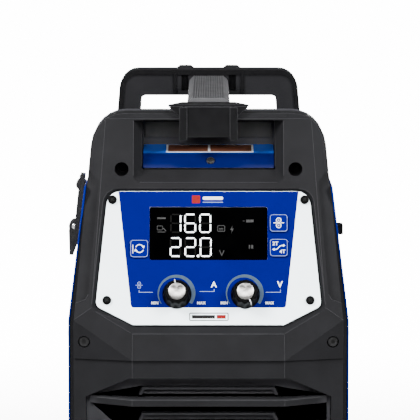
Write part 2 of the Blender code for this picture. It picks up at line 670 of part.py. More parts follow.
def panel_block(name, u, v, half_u, half_v, radius, out_low, out_high, finish, bevel=0.0):
    """A block with rounded corners on the control plane, centred on (u, v)."""
    corners = [(half_u, -half_v, radius), (half_u, half_v, radius),
               (-half_u, half_v, radius), (-half_u, -half_v, radius)]
    levels = [(out_low, 0.0), (out_high, bevel)]
    if bevel:
        levels.insert(1, (out_high - bevel, 0.0))
    rings = []
    for out, shrink in levels:
        ring = [(x - math.copysign(shrink, x), z - math.copysign(shrink, z), radius) for x, z, _ in corners]
        rings.append([on_panel(u + a, v + b, out) for a, b in rounded(ring, 3)])
    return loft(name, rings, finish)


def control_plate():
    back = PLATE_OUT - PLATE_THICK
    plate = loft("control_plate", [panel_ring(PLATE_CORNERS, back), panel_ring(PLATE_CORNERS, PLATE_OUT)],
                 "white_plate")
    half, low, high = DISPLAY
    cut(plate, panel_block("window", 0, (low + high) / 2, half + CLEAR, (high - low) / 2 + CLEAR, 1.2,
                           back - 2, 2, "steel"))
    for u, v in BUTTONS.values():
        side = BUTTON_SIDE / 2 + CLEAR
        cut(plate, panel_block("button_hole", u, v, side, side, 2.8, back - 2, 2, "steel"))
    for u in KNOB_ACROSS.values():
        cut(plate, turned("shaft_hole", [(back - 2, 3.6), (2.0, 3.6)], 16, at_panel(u, KNOB_UP)))
    for u, v in PLATE_SCREWS.values():
        cut(plate, turned("screw_hole", [(back - 2, 1.9), (2.0, 1.9)], 12, at_panel(u, v)))
    return plate


def plate_parts():
    half, low, high = DISPLAY
    panel_block("display_lens", 0, (low + high) / 2, half, (high - low) / 2, 1.0, PLATE_OUT - 3.6,
                PLATE_OUT - 0.2,
                "display_black")
    for name, (u, v) in BUTTONS.items():
        button = panel_block(name, u, v, BUTTON_SIDE / 2, BUTTON_SIDE / 2, 2.5, -8.0, PLATE_OUT + 1.5,
                             "button_blue", 0.3)
        pivot(on_panel(u, v, PLATE_OUT), button)
    for name, (u, v) in PLATE_SCREWS.items():
        smooth(turned("plate_screw_" + name,
                      [(-9.5, 1.5), (-1.2, 1.5), (-1.2, 3.3), (0.1, 3.1), (0.5, 2.2)], 20,
                      at_panel(u, v), "knob_black"))
    for side, name in ((-1, "left"), (1, "right")):
        smooth(turned("chin_screw_" + name, [(CHIN_SCREW_Y - 3.4, 3.4), (CHIN_SCREW_Y - 2.8, 3.9),
                                             (CHIN_SCREW_Y - CLEAR, 3.9), (CHIN_SCREW_Y - CLEAR, 2.0),
                                             (36.0, 2.0)],
                      20, on_y(side * CHIN_SCREW[0], CHIN_SCREW[1]), "steel"))
    board = panel_block("control_board", 0, 60.0, 57.0, 36.0, 1.0, -14.0, -12.4, "circuit_board")
    for u, v, wide, high, deep in ((-40, 82, 12, 6, 7), (10, 75, 22, 14, 3), (38, 45, 10, 8, 10),
                                   (0, 40, 8, 8, 4)):
        join(board, panel_block("component", u, v, wide / 2, high / 2, 0.4, -14.0 - deep, -13.9, "steel"))
    for u in KNOB_ACROSS.values():
        join(board, turned("pot", [(-12.6, 8.2), (-4.3, 8.2)], 24, at_panel(u, KNOB_UP), "steel"))


def knobs():
    """The two scalloped knobs, each with a spun cap on its end and a potentiometer shaft in its bore."""
    for name, u in KNOB_ACROSS.items():
        place = at_panel(u, KNOB_UP)
        profile = [(-1.0, KNOB_RADIUS + 0.3), (1.2, KNOB_RADIUS), (2.0, KNOB_RADIUS - 0.4),
                   (KNOB_HEIGHT - 2.2, KNOB_RADIUS - 1.2), (KNOB_HEIGHT - 1.0, KNOB_RADIUS - 2.2)]
        rings = []
        for along, radius in profile:
            ring = []
            for k in range(48):
                angle = math.tau * k / 48
                scallop = 1.0 - (0.05 if 1.9 < along < KNOB_HEIGHT - 1.5 and k % 4 in (1, 2) else 0.0)
                ring.append(place(radius * scallop * math.cos(angle), radius * scallop * math.sin(angle),
                                  along))
            rings.append(ring)
        knob = loft(name + "_knob", rings, "knob_black")
        cut(knob, turned("knob_bore", [(-4.0, 3.3), (7.0, 3.3)], 16, place))
        low = KNOB_HEIGHT - 1.0 + CLEAR
        cap = turned(name + "_knob_cap",
                     [(low, CAP_RADIUS), (low + 0.8, CAP_RADIUS), (low + 1.1, CAP_RADIUS - 0.4)],
                     32, place, "aluminium")
        shaft = turned(name + "_pot_shaft", [(PLATE_OUT - 2.4, 3.0), (6.7, 3.0)], 16, place, "aluminium")
        for piece in (knob, cap, shaft):
            pivot(on_panel(u, KNOB_UP, 0.0), piece)
            smooth(piece)


# ---------------------------------------------------------------- connectors


def connectors():
    """Central torch connector and the two twist-lock sockets."""
    face = CONNECTOR_FACE_Y
    euro = turned("euro_connector", [(-13.6, 13.0), (face - CLEAR - 3.0, 13.6), (face - CLEAR - 3.0, 20.0),
                                     (face - CLEAR, 20.0), (face - CLEAR, 15.0), (48.0, 15.0), (48.0, 6.0),
                                     (100.0, 4.0)],
                  28, on_y(*EURO), "brass")
    cut(euro, turned("euro_socket", [(-20.0, 10.4), (6.0, 10.4)], 24, on_y(*EURO)),
        turned("wire_bore", [(0.0, 1.6), (110.0, 1.6)], 10, on_y(*EURO)))
    smooth(euro)
    for name, centre in SOCKETS.items():
        socket = turned(name,
                        [(face - CLEAR - 7.0, SOCKET_RADIUS - 1.5), (face - CLEAR - 6.0, SOCKET_RADIUS),
                               (face - CLEAR, SOCKET_RADIUS), (face - CLEAR, 10.0), (44.0, 10.0)],
                        28, on_y(*centre), "knob_black")
        cut(socket, turned("socket_bore", [(-5.0, 6.6), (32.0, 6.6)], 20, on_y(*centre)),
            box("socket_key", (centre[0] - 2.0, -5.0, centre[1] + 4.0),
                (centre[0] + 2.0, 32.0, centre[1] + 9.0)))
        smooth(socket)


def rear_parts():
    """Mains switch, cable gland and gas inlet."""
    rear = REAR_FRAME_Y[1]
    x, z = SWITCH_CENTRE
    body = box("power_switch_body", (x - 13.4, rear - 24.0, z - 10.9), (x + 13.4, rear + 0.6, z + 10.9),
               "knob_black")
    join(body, box("switch_rim", (x - 16.0, rear + 0.4, z - 13.5), (x + 16.0, rear + 2.6, z + 13.5)))
    cut(body, box("switch_well", (x - 11.6, rear - 11.0, z - 9.0), (x + 11.6, rear + 10.0, z + 9.0)))
    rocker_outline = [(rear - 3.0, z - 8.4), (rear + 4.4, z - 8.4), (rear + 2.2, z), (rear + 1.2, z + 8.4),
                      (rear - 3.0, z + 8.4)]
    rocker = along_x("power_switch_rocker", rocker_outline, x - 11.0, x + 11.0, "knob_black")
    pivot((x, rear - 1.0, z), rocker)
    gland = turned("cable_gland",
                   [(rear - 14.0, 9.0), (rear + CLEAR, 9.0), (rear + CLEAR, 14.0), (rear + 7.0, 14.0),
                                   (rear + 8.0, 12.5), (rear + 24.0, 10.5)], 24, on_y(*GLAND_CENTRE),
                                   "knob_black")
    cut(gland, turned("gland_bore", [(rear - 20.0, 6.0), (rear + 30.0, 6.0)], 20, on_y(*GLAND_CENTRE)))
    smooth(gland)
    gas = turned("gas_inlet",
                 [(rear - 14.0, 6.0), (rear + CLEAR, 6.0), (rear + CLEAR, 9.0), (rear + 6.0, 9.0),
                               (rear + 6.0, 4.6), (rear + 22.0, 4.2)], 18, on_y(*GAS_CENTRE), "brass")
    cut(gas, turned("gas_bore", [(rear - 20.0, 2.4), (rear + 30.0, 2.4)], 12, on_y(*GAS_CENTRE)))
    smooth(gas)


def fan():
    """Fan housing on the rear panel, with its struts, and the bladed rotor."""
    x, z = FAN_CENTRE
    low, high = 398.0, 423.0
    outline = rounded([(x + FAN_HALF, z - FAN_HALF, 5.0), (x + FAN_HALF, z + FAN_HALF, 5.0),
                       (x - FAN_HALF, z + FAN_HALF, 5.0), (x - FAN_HALF, z - FAN_HALF, 5.0)])
    frame = along_y("fan_frame", outline, low, high)
    cut(frame, turned("fan_throat", [(low - 5.0, 37.5), (high + 5.0, 37.5)], 36, on_y(x, z)))
    join(frame, turned("motor_seat", [(low, 15.0), (low + 4.0, 15.0)], 20, on_y(x, z)))
    for k in range(4):
        angle = math.pi / 4 + k * math.pi / 2
        across = Vector((-math.sin(angle), math.cos(angle))) * 2.0
        ends = [Vector((x, z)) + Vector((math.cos(angle), math.sin(angle))) * r for r in (12.0, 39.0)]
        strut = [tuple(ends[0] - across), tuple(ends[1] - across), tuple(ends[1] + across),
                 tuple(ends[0] + across)]
        join(frame, along_y("strut", strut, low, low + 4.0))
    rotor = turned("fan_rotor", [(low + 5.0, 15.5), (high - 3.0, 15.5), (high - 2.0, 14.5)], 24, on_y(x, z))
    for k in range(7):
        turn = Matrix.Rotation(math.tau * k / 7, 2)
        rings = []
        for radius, pitch, half_chord in ((13.0, 0.95, 8.1), (36.0, 0.5, 10.8)):
            ring = []
            for end, thick in ((-1, -0.7), (1, -0.7), (1, 0.7), (-1, 0.7)):
                spot = turn @ Vector((radius, end * half_chord * math.cos(pitch) + thick))
                depth = end * half_chord * math.sin(pitch) + thick
                ring.append((x + spot.x, (low + high) / 2 + depth, z + spot.y))
            rings.append(ring)
        join(rotor, loft("blade", rings))
    pivot((x, (low + high) / 2, z), rotor)


# ---------------------------------------------------------------- handle


def handle_foot():
    """Bracket over the front crossbar that carries the front end of the grip."""
    top, seat = 346.2, FRONT_TOP + CLEAR
    front = panel_y(top) - 3.2
    back = GRIP_Y[0] - CLEAR
    foot = loft("handle_foot", [
        [(-18.7, 55.5, seat), (18.7, 55.5, seat), (18.7, back, seat), (-18.7, back, seat)],
        [(-29.6, front + 1.0, top - 1.2), (29.6, front + 1.0, top - 1.2), (20.0, back, top - 1.2),
         (-20.0, back, top - 1.2)],
        [(-29.0, front + 2.0, top), (29.0, front + 2.0, top), (19.5, back, top), (-19.5, back, top)]])

    def skirt(low, thick, high):
        """Section of a skirt that hangs in front of the crossbar, parallel to the control plane."""
        return [(panel_y(low) - 0.4 - thick, low), (panel_y(low) - 0.4, low),
                (panel_y(high) - 0.4, high), (panel_y(high) - 0.4 - thick, high)]

    join(foot, along_x("skirt", skirt(322.9, 2.0, 344.4), -17.0, 17.0))
    for side in (-1, 1):
        low, high = sorted((side * 15.6, side * 21.0))
        join(foot, along_x("skirt_rib", skirt(320.5, 3.4, 344.0), low, high))
        flare = [[(side * x, y, z) for y, z in skirt(bottom, thick, 345.0)]
                 for x, bottom, thick in ((19.0, 332.0, 3.0), (21.8, 338.5, 3.0), (28.4, 344.0, 2.6))]
        join(foot, loft("flare", flare))
    return foot


def handle_grip():
    """Long rubber-covered bar between the front crossbar and the rear loop."""
    half, (low, high) = GRIP_HALF, GRIP_Z
    right = [(half - 2.0, low, 3.0), (half, low + 5.0, 4.0), (half, high - 3.0, 4.0),
             (half - 3.4, high, 2.5)]
    outline = rounded(right + [(-x, z, r) for x, z, r in reversed(right)], 3)
    grip = along_y("handle_grip", outline, GRIP_Y[0], GRIP_Y[1], "grip_grey")
    return cut(grip, box("seat", (-40.0, 0.0, 300.0), (40.0, FRAME_BACK + 0.4, FRONT_TOP + CLEAR)))


def rear_loop():
    """Transverse loop on the rear frame that carries the rear end of the grip."""
    foot = REAR_TOP + CLEAR
    outer = [(74.6, foot, 0.0), (71.0, 354.0, 15.0), (26.0, 354.0, 1.0), (23.5, 356.0, 2.0),
             (14.5, 356.0, 2.0),
             (12.0, 354.0, 1.0)]
    outline = rounded(outer + [(-x, z, r) for x, z, r in reversed(outer)], 5)
    low, high = LOOP_Y
    loop = along_y("rear_loop", outline, low, high)
    opening = rounded([(56.4, foot - 5, 0.0), (54.6, 333.3, 4.0), (-54.6, 333.3, 4.0),
                       (-56.4, foot - 5, 0.0)], 4)
    cut(loop, along_y("opening", opening, low - 10.0, high + 10.0))
    for side in (-1, 1):
        a, b = sorted((side * 16.4, side * 22.0))
        cut(loop, box("clip_recess", (a, low - 5.0, 337.0), (b, low + 12.0, 351.0)))
    return loop


# ---------------------------------------------------------------- latch on the spool door


LATCH_FOOT = Vector((-cover_half(LATCH_FOOT_Z), LATCH_FOOT_Z))
LATCH_UP = Vector((COVER_LEAN, 1.0)).normalized()
LATCH_OUT = Vector((-LATCH_UP.y, LATCH_UP.x))


def on_latch(out, up):
    """An (x, z) point of the latch: out from the door's skin and up along it."""
    spot = LATCH_FOOT + LATCH_OUT * out + LATCH_UP * up
    return (spot.x, spot.y)


def latch_point(spot):
    """A spot of the latch's section, as a point in the middle of the latch."""
    x, z = on_latch(*spot)
    return (x, LATCH_Y, z)


def latch_bar(name, outline, y_low, y_high, finish="steel"):
    """A latch part: an outline of (out, up) points, extruded along Y about the latch's middle."""
    return along_y(name, [on_latch(*p) for p in outline], LATCH_Y + y_low, LATCH_Y + y_high, finish)


def latch_round(name, centre, radius, y_low, y_high, count=16, finish="steel"):
    return latch_bar(name, circle(radius, count, centre), y_low, y_high, finish)


def latch():
    """Toggle latch: a base and lever on the door, and a bail that reaches over a keeper on the cover."""
    pivot_spot = (LATCH_PIVOT_OUT, 0.0)
    base = latch_bar("latch_base", rectangle((CLEAR, -11.0), (1.6, 20.0)), -11.0, 11.0)
    for side in (-1, 1):
        low, high = sorted((side * 7.4, side * 9.4))
        join(base, latch_round("ear", pivot_spot, 4.6, low, high),
             latch_bar("ear_stem", rectangle((1.0, -4.2), (LATCH_PIVOT_OUT, 4.2)), low, high))
    join(base, latch_round("lever_pin", pivot_spot, 1.8, -10.0, 10.0, 12))
    lever = latch_round("latch_lever", pivot_spot, 4.3, -7.0, 7.0)
    join(lever, latch_bar("lever_body", [(7.0, 2.0), (2.8, -2.0), (2.8, -11.0), (5.6, -22.5), (8.4, -22.5),
                                         (11.2, -4.0), (11.0, 1.0)], -7.0, 7.0))
    cut(lever, latch_round("lever_bore", pivot_spot, 2.1, -20.0, 20.0, 14),
        latch_round("bail_bore", BAIL_PIVOT, 1.6, -20.0, 20.0, 12))
    pivot(latch_point(pivot_spot), lever)
    top = KEEPER_UP + KEEPER_RADIUS + 2.0
    bail = latch_round("latch_bail", BAIL_PIVOT, 1.3, -12.0, 12.0, 12)
    for side in (-1, 1):
        low, high = sorted((side * 10.2, side * 12.2))
        arm = [(BAIL_PIVOT[0] - 2.1, BAIL_PIVOT[1] - 2.0), (BAIL_PIVOT[0] + 2.1, BAIL_PIVOT[1] - 2.0),
               (KEEPER_OUT + 2.0, top + 1.5), (KEEPER_OUT - 2.0, top + 1.5)]
        join(bail, latch_bar("bail_arm", arm, low, high))
    join(bail, latch_round("bail_bar", (KEEPER_OUT, top), 1.6, -12.0, 12.0, 12))
    pivot(latch_point(BAIL_PIVOT), bail)
    keeper = latch_bar("latch_keeper", rectangle((CLEAR, KEEPER_UP - 6.0), (1.6, KEEPER_UP + 6.0)), -9.5,
                       9.5)
    join(keeper, latch_bar("keeper_post", rectangle((1.0, KEEPER_UP - 2.6), (KEEPER_OUT, KEEPER_UP + 2.6)),
                           -9.0, 9.0),
         latch_round("keeper_roller", (KEEPER_OUT, KEEPER_UP), KEEPER_RADIUS, -9.0, 9.0, 18))
    for piece in (base, lever, bail, keeper):
        smooth(piece)


def strap_stud():
    """Small block on the right side of the cover, for the end of a shoulder strap."""
    low, high = STUD_Z
    x = cover_half(low) + CLEAR
    return box("strap_stud", (x, STUD_Y[0], low), (STUD_X, STUD_Y[1], high), "knob_black")


# ---------------------------------------------------------------- wire feeder and spool


def feeder():
    """Wire feeder: plate, geared motor, driven roll, and a spring-loaded arm with its pressure roll."""
    plate = box("feed_plate", (-13.0, 84.0, 19.0), (-9.0, 152.0, 92.0), "aluminium")
    join(plate, box("feed_plate_foot", (-9.5, 112.5, 24.0), (DIVIDER_X[0] - CLEAR, 150.0, 30.0)),
         box("feed_plate_head", (-9.5, 112.5, 80.0), (DIVIDER_X[0] - CLEAR, 150.0, 86.0)),
         turned("arm_pin", [(-47.0, 3.0), (-12.0, 3.0)], 14, on_x(*ARM_PIVOT)))
    cut(plate, turned("drive_bore", [(-20.0, 4.6), (0.0, 4.6)], 16, on_x(ROLL_Y, DRIVE_Z)))
    motor = turned("feed_motor",
                   [(DIVIDER_X[1] + CLEAR, 18.0), (24.0, 18.0), (24.0, 21.0), (80.0, 21.0), (82.0, 18.0)],
                   24, on_x(ROLL_Y, DRIVE_Z), "steel")
    smooth(motor)
    roll = turned("drive_roll", [(-40.0, 6.0), (-38.0, 6.0), (-38.0, DRIVE_RADIUS), (-33.0, DRIVE_RADIUS),
                                 (-32.0, DRIVE_RADIUS - 0.8), (-31.0, DRIVE_RADIUS), (-26.0, DRIVE_RADIUS),
                                 (-26.0, 4.0), (5.0, 4.0)], 32, on_x(ROLL_Y, DRIVE_Z), "steel")
    pivot((WIRE_X, ROLL_Y, DRIVE_Z), roll)
    smooth(roll)
    pressure = turned("pressure_roll", [(-38.0, PRESSURE_RADIUS), (-26.0, PRESSURE_RADIUS)], 28,
                      on_x(ROLL_Y, PRESSURE_Z), "steel")
    cut(pressure, turned("roll_bore", [(-50.0, 3.3), (-10.0, 3.3)], 16, on_x(ROLL_Y, PRESSURE_Z)))
    pivot((WIRE_X, ROLL_Y, PRESSURE_Z), pressure)
    smooth(pressure)
    knob_y = 142.0
    arm_outline = [(84.0, 72.0), (92.0, 68.0), (112.0, 59.0), (124.0, 57.0), (150.0, 66.0), (150.0, 78.0),
                   (92.0, 84.0), (85.0, 81.0)]
    arm = along_x("pressure_arm", arm_outline, -46.0, -40.0, "knob_black")
    join(arm, turned("roll_axle", [(-42.0, 3.0), (-24.0, 3.0)], 14, on_x(ROLL_Y, PRESSURE_Z)))
    cut(arm, turned("arm_bore", [(-60.0, 3.3), (-30.0, 3.3)], 16, on_x(*ARM_PIVOT)),
        turned("knob_bore", [(74.0, 2.3), (90.0, 2.3)], 12, on_z(-43.0, knob_y)))
    pivot((-43.0, *ARM_PIVOT), arm)
    knob = turned("tension_knob", [(75.0, 2.0), (80.3, 2.0), (80.3, 7.0), (106.0, 8.0), (110.0, 7.0)], 20,
                  on_z(-43.0, knob_y), "knob_black")
    pivot((-43.0, knob_y, 90.0), knob)
    smooth(knob)


def spool():
    """Spool hub, the wire spool with its wound wire, and the nut that holds it."""
    low, high = SPOOL_X
    hub = turned("spool_hub", [(-72.0, 8.0), (-61.0, 8.0), (-61.0, 24.8), (-4.0, 24.8), (-4.0, 34.0),
                               (DIVIDER_X[0] - CLEAR, 34.0)], 32, on_x(*SPOOL_CENTRE), "knob_black")
    smooth(hub)
    reel = turned("wire_spool",
                  [(low, SPOOL_RADIUS), (low + 3.0, SPOOL_RADIUS), (low + 3.0, 42.0), (high - 3.0, 42.0),
                                 (high - 3.0, SPOOL_RADIUS), (high, SPOOL_RADIUS)], 48, on_x(*SPOOL_CENTRE),
                  "spool_plastic")
    cut(reel,
        turned("reel_bore", [(low - 10, SPOOL_BORE), (high + 10, SPOOL_BORE)], 32, on_x(*SPOOL_CENTRE)))
    for k in range(6):
        angle = math.tau * k / 6
        spot = (SPOOL_CENTRE[0] + 70.0 * math.cos(angle), SPOOL_CENTRE[1] + 70.0 * math.sin(angle))
        cut(reel, turned("flange_hole", [(low - 10, 13.0), (low + 3.5, 13.0)], 16, on_x(*spot)))
    coil = turned("wire_coil", [(low + 3.3, 86.0), (high - 3.3, 86.0)], 48, on_x(*SPOOL_CENTRE),
                  "copper_wire")
    cut(coil, turned("coil_bore", [(low - 10, 42.4), (high + 10, 42.4)], 48, on_x(*SPOOL_CENTRE)))
    for piece in (reel, coil):
        pivot(((low + high) / 2, *SPOOL_CENTRE), piece)
        smooth(piece)
    nut = turned("hub_nut", [(-76.0, 20.0), (-74.0, 26.0), (-64.0, 30.0), (-61.4, 30.0)], 12,
                 on_x(*SPOOL_CENTRE), "knob_black")
    cut(nut, turned("nut_bore", [(-90.0, 8.3), (-50.0, 8.3)], 20, on_x(*SPOOL_CENTRE)))
    pivot((-68.0, *SPOOL_CENTRE), nut)


def inverter():
    """Power board with its larger parts, and the heat sink beside it."""
    board = box("inverter_board", (16.0, 150.0, 30.0), (18.0, 345.0, 230.0), "circuit_board")
    join(board, box("board_stand_low", (DIVIDER_X[1] + CLEAR, 160.0, 36.0), (16.5, 166.0, 42.0)),
         box("board_stand_high", (DIVIDER_X[1] + CLEAR, 330.0, 216.0), (16.5, 336.0, 222.0)),
         box("transformer", (17.5, 168.0, 40.0), (62.0, 222.0, 94.0)),
         box("choke", (17.5, 168.0, 108.0), (48.0, 208.0, 140.0)))
    for k in range(3):
        join(board, turned("capacitor", [(17.5, 14.0), (56.0, 14.0)], 18, on_x(176.0 + k * 31.0, 196.0)))
    sink = box("heat_sink", (20.0, 240.0, 44.0), (26.0, 340.0, 160.0), "aluminium")
    for k in range(8):
        z = 46.0 + k * 15.5
        join(sink, box("fin", (25.5, 240.0, z), (66.0, 340.0, z + 2.4)))


def build():
    for make in (front_frame, hood_panel, front_grille, rear_frame, base_pan, top_cover, spool_door,
                 hinge_leaf, divider_panel, feet, control_plate, plate_parts, knobs, connectors,
                 rear_parts, fan, handle_foot, handle_grip, rear_loop, latch, strap_stud, feeder, spool,
                 inverter):
        make()


build()
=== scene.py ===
"""Looks of the portable MIG welding machine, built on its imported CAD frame.

Lengths are in millimetres, but for the lights and the floor, which are in metres. X is to the operator's
right, Y runs back and Z is up. Places on the control plate are given as across (u), up the plate (v) and out
of its face.
"""

import json
import math

import bmesh
import bpy
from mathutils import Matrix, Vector


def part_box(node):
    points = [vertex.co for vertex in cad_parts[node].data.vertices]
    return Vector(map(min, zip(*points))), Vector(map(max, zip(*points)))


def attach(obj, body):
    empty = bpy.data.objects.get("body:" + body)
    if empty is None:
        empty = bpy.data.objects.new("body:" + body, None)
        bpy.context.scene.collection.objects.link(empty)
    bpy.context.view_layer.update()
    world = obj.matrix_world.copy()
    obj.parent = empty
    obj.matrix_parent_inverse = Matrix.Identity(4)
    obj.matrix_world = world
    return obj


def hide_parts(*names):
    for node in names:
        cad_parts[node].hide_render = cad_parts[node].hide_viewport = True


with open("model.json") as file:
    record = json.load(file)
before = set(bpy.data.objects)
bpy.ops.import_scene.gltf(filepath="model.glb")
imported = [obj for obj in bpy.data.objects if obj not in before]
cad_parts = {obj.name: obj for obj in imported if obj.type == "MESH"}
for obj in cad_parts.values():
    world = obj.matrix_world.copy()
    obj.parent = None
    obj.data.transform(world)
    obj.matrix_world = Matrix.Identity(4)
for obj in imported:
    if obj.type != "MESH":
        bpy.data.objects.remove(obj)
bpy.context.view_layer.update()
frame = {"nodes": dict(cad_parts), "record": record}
nodes = frame["nodes"]

MM = 0.001

# Driving dimensions of the frame that the pieces are placed by
PANEL_LEAN = math.radians(18)
PLATE_LOW_V = 7.2  # the plate's lower edge, up the control plane
PLATE_THICK = 2.0
LENS_OUT = -0.2  # the display's front, from the plate's face
FILM_OUT = 0.12  # thickness of the printed film on the plate
INK_OUT = 0.16
KEY_OUT = 1.5  # top of the push buttons
KEY_HALF = 6.4
KEY_HOLE = 6.95
SCREW_OUT = 2.0
KNOB_UP = 29.4
KNOB_ACROSS = {"wire_speed": -22.7, "voltage": 26.5}
KNOB_TURN = {"wire_speed": 10.0, "voltage": -154.0}  # degrees anticlockwise from straight up
KNOB_RADIUS = 10.3
KNOB_TOP = 12.6
CAP_RADIUS = 6.2
PLATE_SCREWS = {"upper_left": (-69.5, 99.2), "upper_right": (69.5, 99.2),
                "lower_left": (-73.1, 25.1), "lower_right": (73.1, 25.1)}
BUTTONS = {"process_button": (-50.0, 62.9), "wire_inch_button": (50.7, 81.8),
           "trigger_mode_button": (50.7, 63.6)}
CHIN_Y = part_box("front_frame")[0].y
CAMERA_BACK, CAMERA_UP, CAMERA_ASIDE = 2600.0, 520.0, 1.1
CAMERA_TILT = math.radians(5.4)
CAMERA_LENS, CAMERA_SENSOR, CAMERA_REACH = 313.5, 36.0, 50.0  # the reach is in metres
GLOW_DEPTHS, GLOW_HEIGHTS, GLOW_STRENGTH = (-0.3, 1.2), (0.42, 0.30), 15.0  # in metres, from none to full
FLOOR_TONE, WALL_TONE = (0.34, 0.34, 0.34), (0.05, 0.05, 0.05)
FLOOR_RADIUS, FLOOR_BEND, WALL_TOP = 11.5, 1.5, 6.0

RAMP_START, RAMP_END = 0.35, 0.65  # part of a noise's range over which colours change
MOTTLE_DETAIL, SHEEN_DETAIL, GRAIN_DETAIL = 3.0, 4.0, 2.0

WELD_REACH = 0.000004  # in metres, for the joined corners of a CAD mesh
FLAT_TURN, CREASE_TURN, SHARP_TURN = 0.6, 3.5, 28.0  # degrees between two faces
ALONG_Y = 0.9  # an edge that lies this much along Y belongs to a rolled corner


def spot(x, y, z):
    """A place in the row frame, from millimetres right, behind the chin and up."""
    return Vector((x * MM, CHIN_Y + y * MM, z * MM))


def plate_origin():
    """The foot of the plate's face on the middle line, worked out from the plate's own box."""
    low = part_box("control_plate")[0]
    y = low.y - PLATE_LOW_V * MM * math.sin(PANEL_LEAN)
    z = low.z + (PLATE_THICK * math.sin(PANEL_LEAN) - PLATE_LOW_V * math.cos(PANEL_LEAN)) * MM
    return Vector((0.0, y, z))


PLATE_FOOT = plate_origin()
PLATE_UP = Vector((0.0, math.sin(PANEL_LEAN), math.cos(PANEL_LEAN)))
PLATE_NORMAL = Vector((0.0, -math.cos(PANEL_LEAN), math.sin(PANEL_LEAN)))
ACROSS = Vector((1.0, 0.0, 0.0))


def on_plate(u, v, out):
    """A place in the row frame, from one on the control plate."""
    return PLATE_FOOT + (ACROSS * u + PLATE_UP * v + PLATE_NORMAL * out) * MM


def on_plate_at(u, v, turn=0.0):
    """Places points round a centre on the plate, turned anticlockwise by an angle in degrees."""
    cos, sin = math.cos(math.radians(turn)), math.sin(math.radians(turn))
    return lambda a, b, out: on_plate(u + a * cos - b * sin, v + a * sin + b * cos, out)


def facing_front(x, y, z):
    """Places (across, up, out) round a point, with out towards the operator."""
    return lambda a, b, out: spot(x + a, y - out, z + b)


def facing_back(x, y, z):
    """The same, with out towards the back."""
    return lambda a, b, out: spot(x - a, y + out, z + b)


def facing_right(x, y, z):
    """The same, with out to the operator's right."""
    return lambda a, b, out: spot(x + out, y + a, z + b)


def facing_left(x, y, z):
    """The same, with out to the operator's left."""
    return lambda a, b, out: spot(x - out, y - a, z + b)


def add_object(name, data):
    """Makes an object of this data, in the scene."""
    made = bpy.data.objects.new(name, data)
    bpy.context.scene.collection.objects.link(made)
    return made


def join_rings(shape, lower, upper):
    """Fills the band between two rings of corners with faces."""
    for k in range(len(lower)):
        n = (k + 1) % len(lower)
        shape.faces.new((lower[k], lower[n], upper[n], upper[k]))


def finished_mesh(name, shape, *looks):
    """Turns a bmesh into a mesh with these looks."""
    mesh = bpy.data.meshes.new(name)
    shape.to_mesh(mesh)
    shape.free()
    for look in looks:
        mesh.materials.append(look.material)
    return mesh


# ---------------------------------------------------------------- camera, light and floor


def make_camera():
    """Long lens in front of the machine, above it and tilted down."""
    data = bpy.data.cameras.new("camera")
    data.lens = CAMERA_LENS
    data.sensor_width = CAMERA_SENSOR
    data.clip_end = CAMERA_REACH
    camera = add_object("camera", data)
    camera.location = spot(CAMERA_ASIDE, -CAMERA_BACK, CAMERA_UP)
    camera.rotation_euler = (math.pi / 2 - CAMERA_TILT, 0.0, 0.0)
    bpy.context.scene.camera = camera


def make_light(name, place, aim, size, power):
    """White area light at a place, turned to its aim. Lengths are in metres and the power is in watts."""
    data = bpy.data.lights.new(name, "AREA")
    data.shape = "RECTANGLE"
    data.size, data.size_y = size
    data.energy = power
    light = add_object(name, data)
    light.location = place
    light.rotation_euler = (Vector(aim) - Vector(place)).to_track_quat("-Z", "Y").to_euler()


def make_floor():
    """A floor that sweeps up into a backdrop on all sides, as one round dish."""
    steps, turns = 8, 64
    profile = [(FLOOR_RADIUS, 0.0)]
    for k in range(1, steps + 1):
        angle = math.pi / 2 * k / steps
        profile.append((FLOOR_RADIUS + FLOOR_BEND * math.sin(angle), FLOOR_BEND * (1 - math.cos(angle))))
    profile.append((FLOOR_RADIUS + FLOOR_BEND, WALL_TOP))
    shape = bmesh.new()
    rows = []
    for radius, height in profile:
        rows.append([shape.verts.new((*point, height)) for point in circle(radius, turns)])
    shape.faces.new(rows[0])
    for inner, outer in zip(rows, rows[1:]):
        join_rings(shape, outer, inner)
    for face in shape.faces:
        face.smooth = True
    floor = add_object("floor", finished_mesh("floor", shape, floor_look()))


def floor_look():
    """Pale matt floor that goes dark up the wall. Behind the machine and low down it is lit from within."""
    look = Look("studio_floor", FLOOR_TONE, 0.8, shine=0.05)
    axes = look.node("SeparateXYZ")
    look.wire(look.place.outputs["Object"], axes.inputs["Vector"])
    parts = []
    for axis, (start, full) in (("Y", GLOW_DEPTHS), ("Z", GLOW_HEIGHTS)):
        fade = look.node("MapRange", interpolation_type="SMOOTHSTEP")
        fade.inputs["From Min"].default_value = start
        fade.inputs["From Max"].default_value = full
        look.wire(axes.outputs[axis], fade.inputs["Value"])
        parts.append(fade.outputs["Result"])
    both = look.node("Math", operation="MULTIPLY")
    strength = look.node("Math", operation="MULTIPLY")
    strength.inputs[1].default_value = GLOW_STRENGTH
    for k, part in enumerate(parts):
        look.wire(part, both.inputs[k])
    look.wire(both.outputs[0], strength.inputs[0])
    look.shader.inputs["Emission Color"].default_value = (1.0, 1.0, 1.0, 1.0)
    look.wire(strength.outputs[0], look.shader.inputs["Emission Strength"])
    drift = look.node("Mix", data_type="RGBA")
    drift.inputs[6].default_value = (*WALL_TONE, 1.0)
    look.wire(look.ramp(look.noise(400.0), tuple(0.95 * c for c in FLOOR_TONE), FLOOR_TONE), drift.inputs[7])
    look.wire(parts[1], drift.inputs[0])
    look.wire(drift.outputs[2], look.shader.inputs["Base Color"])
    return look


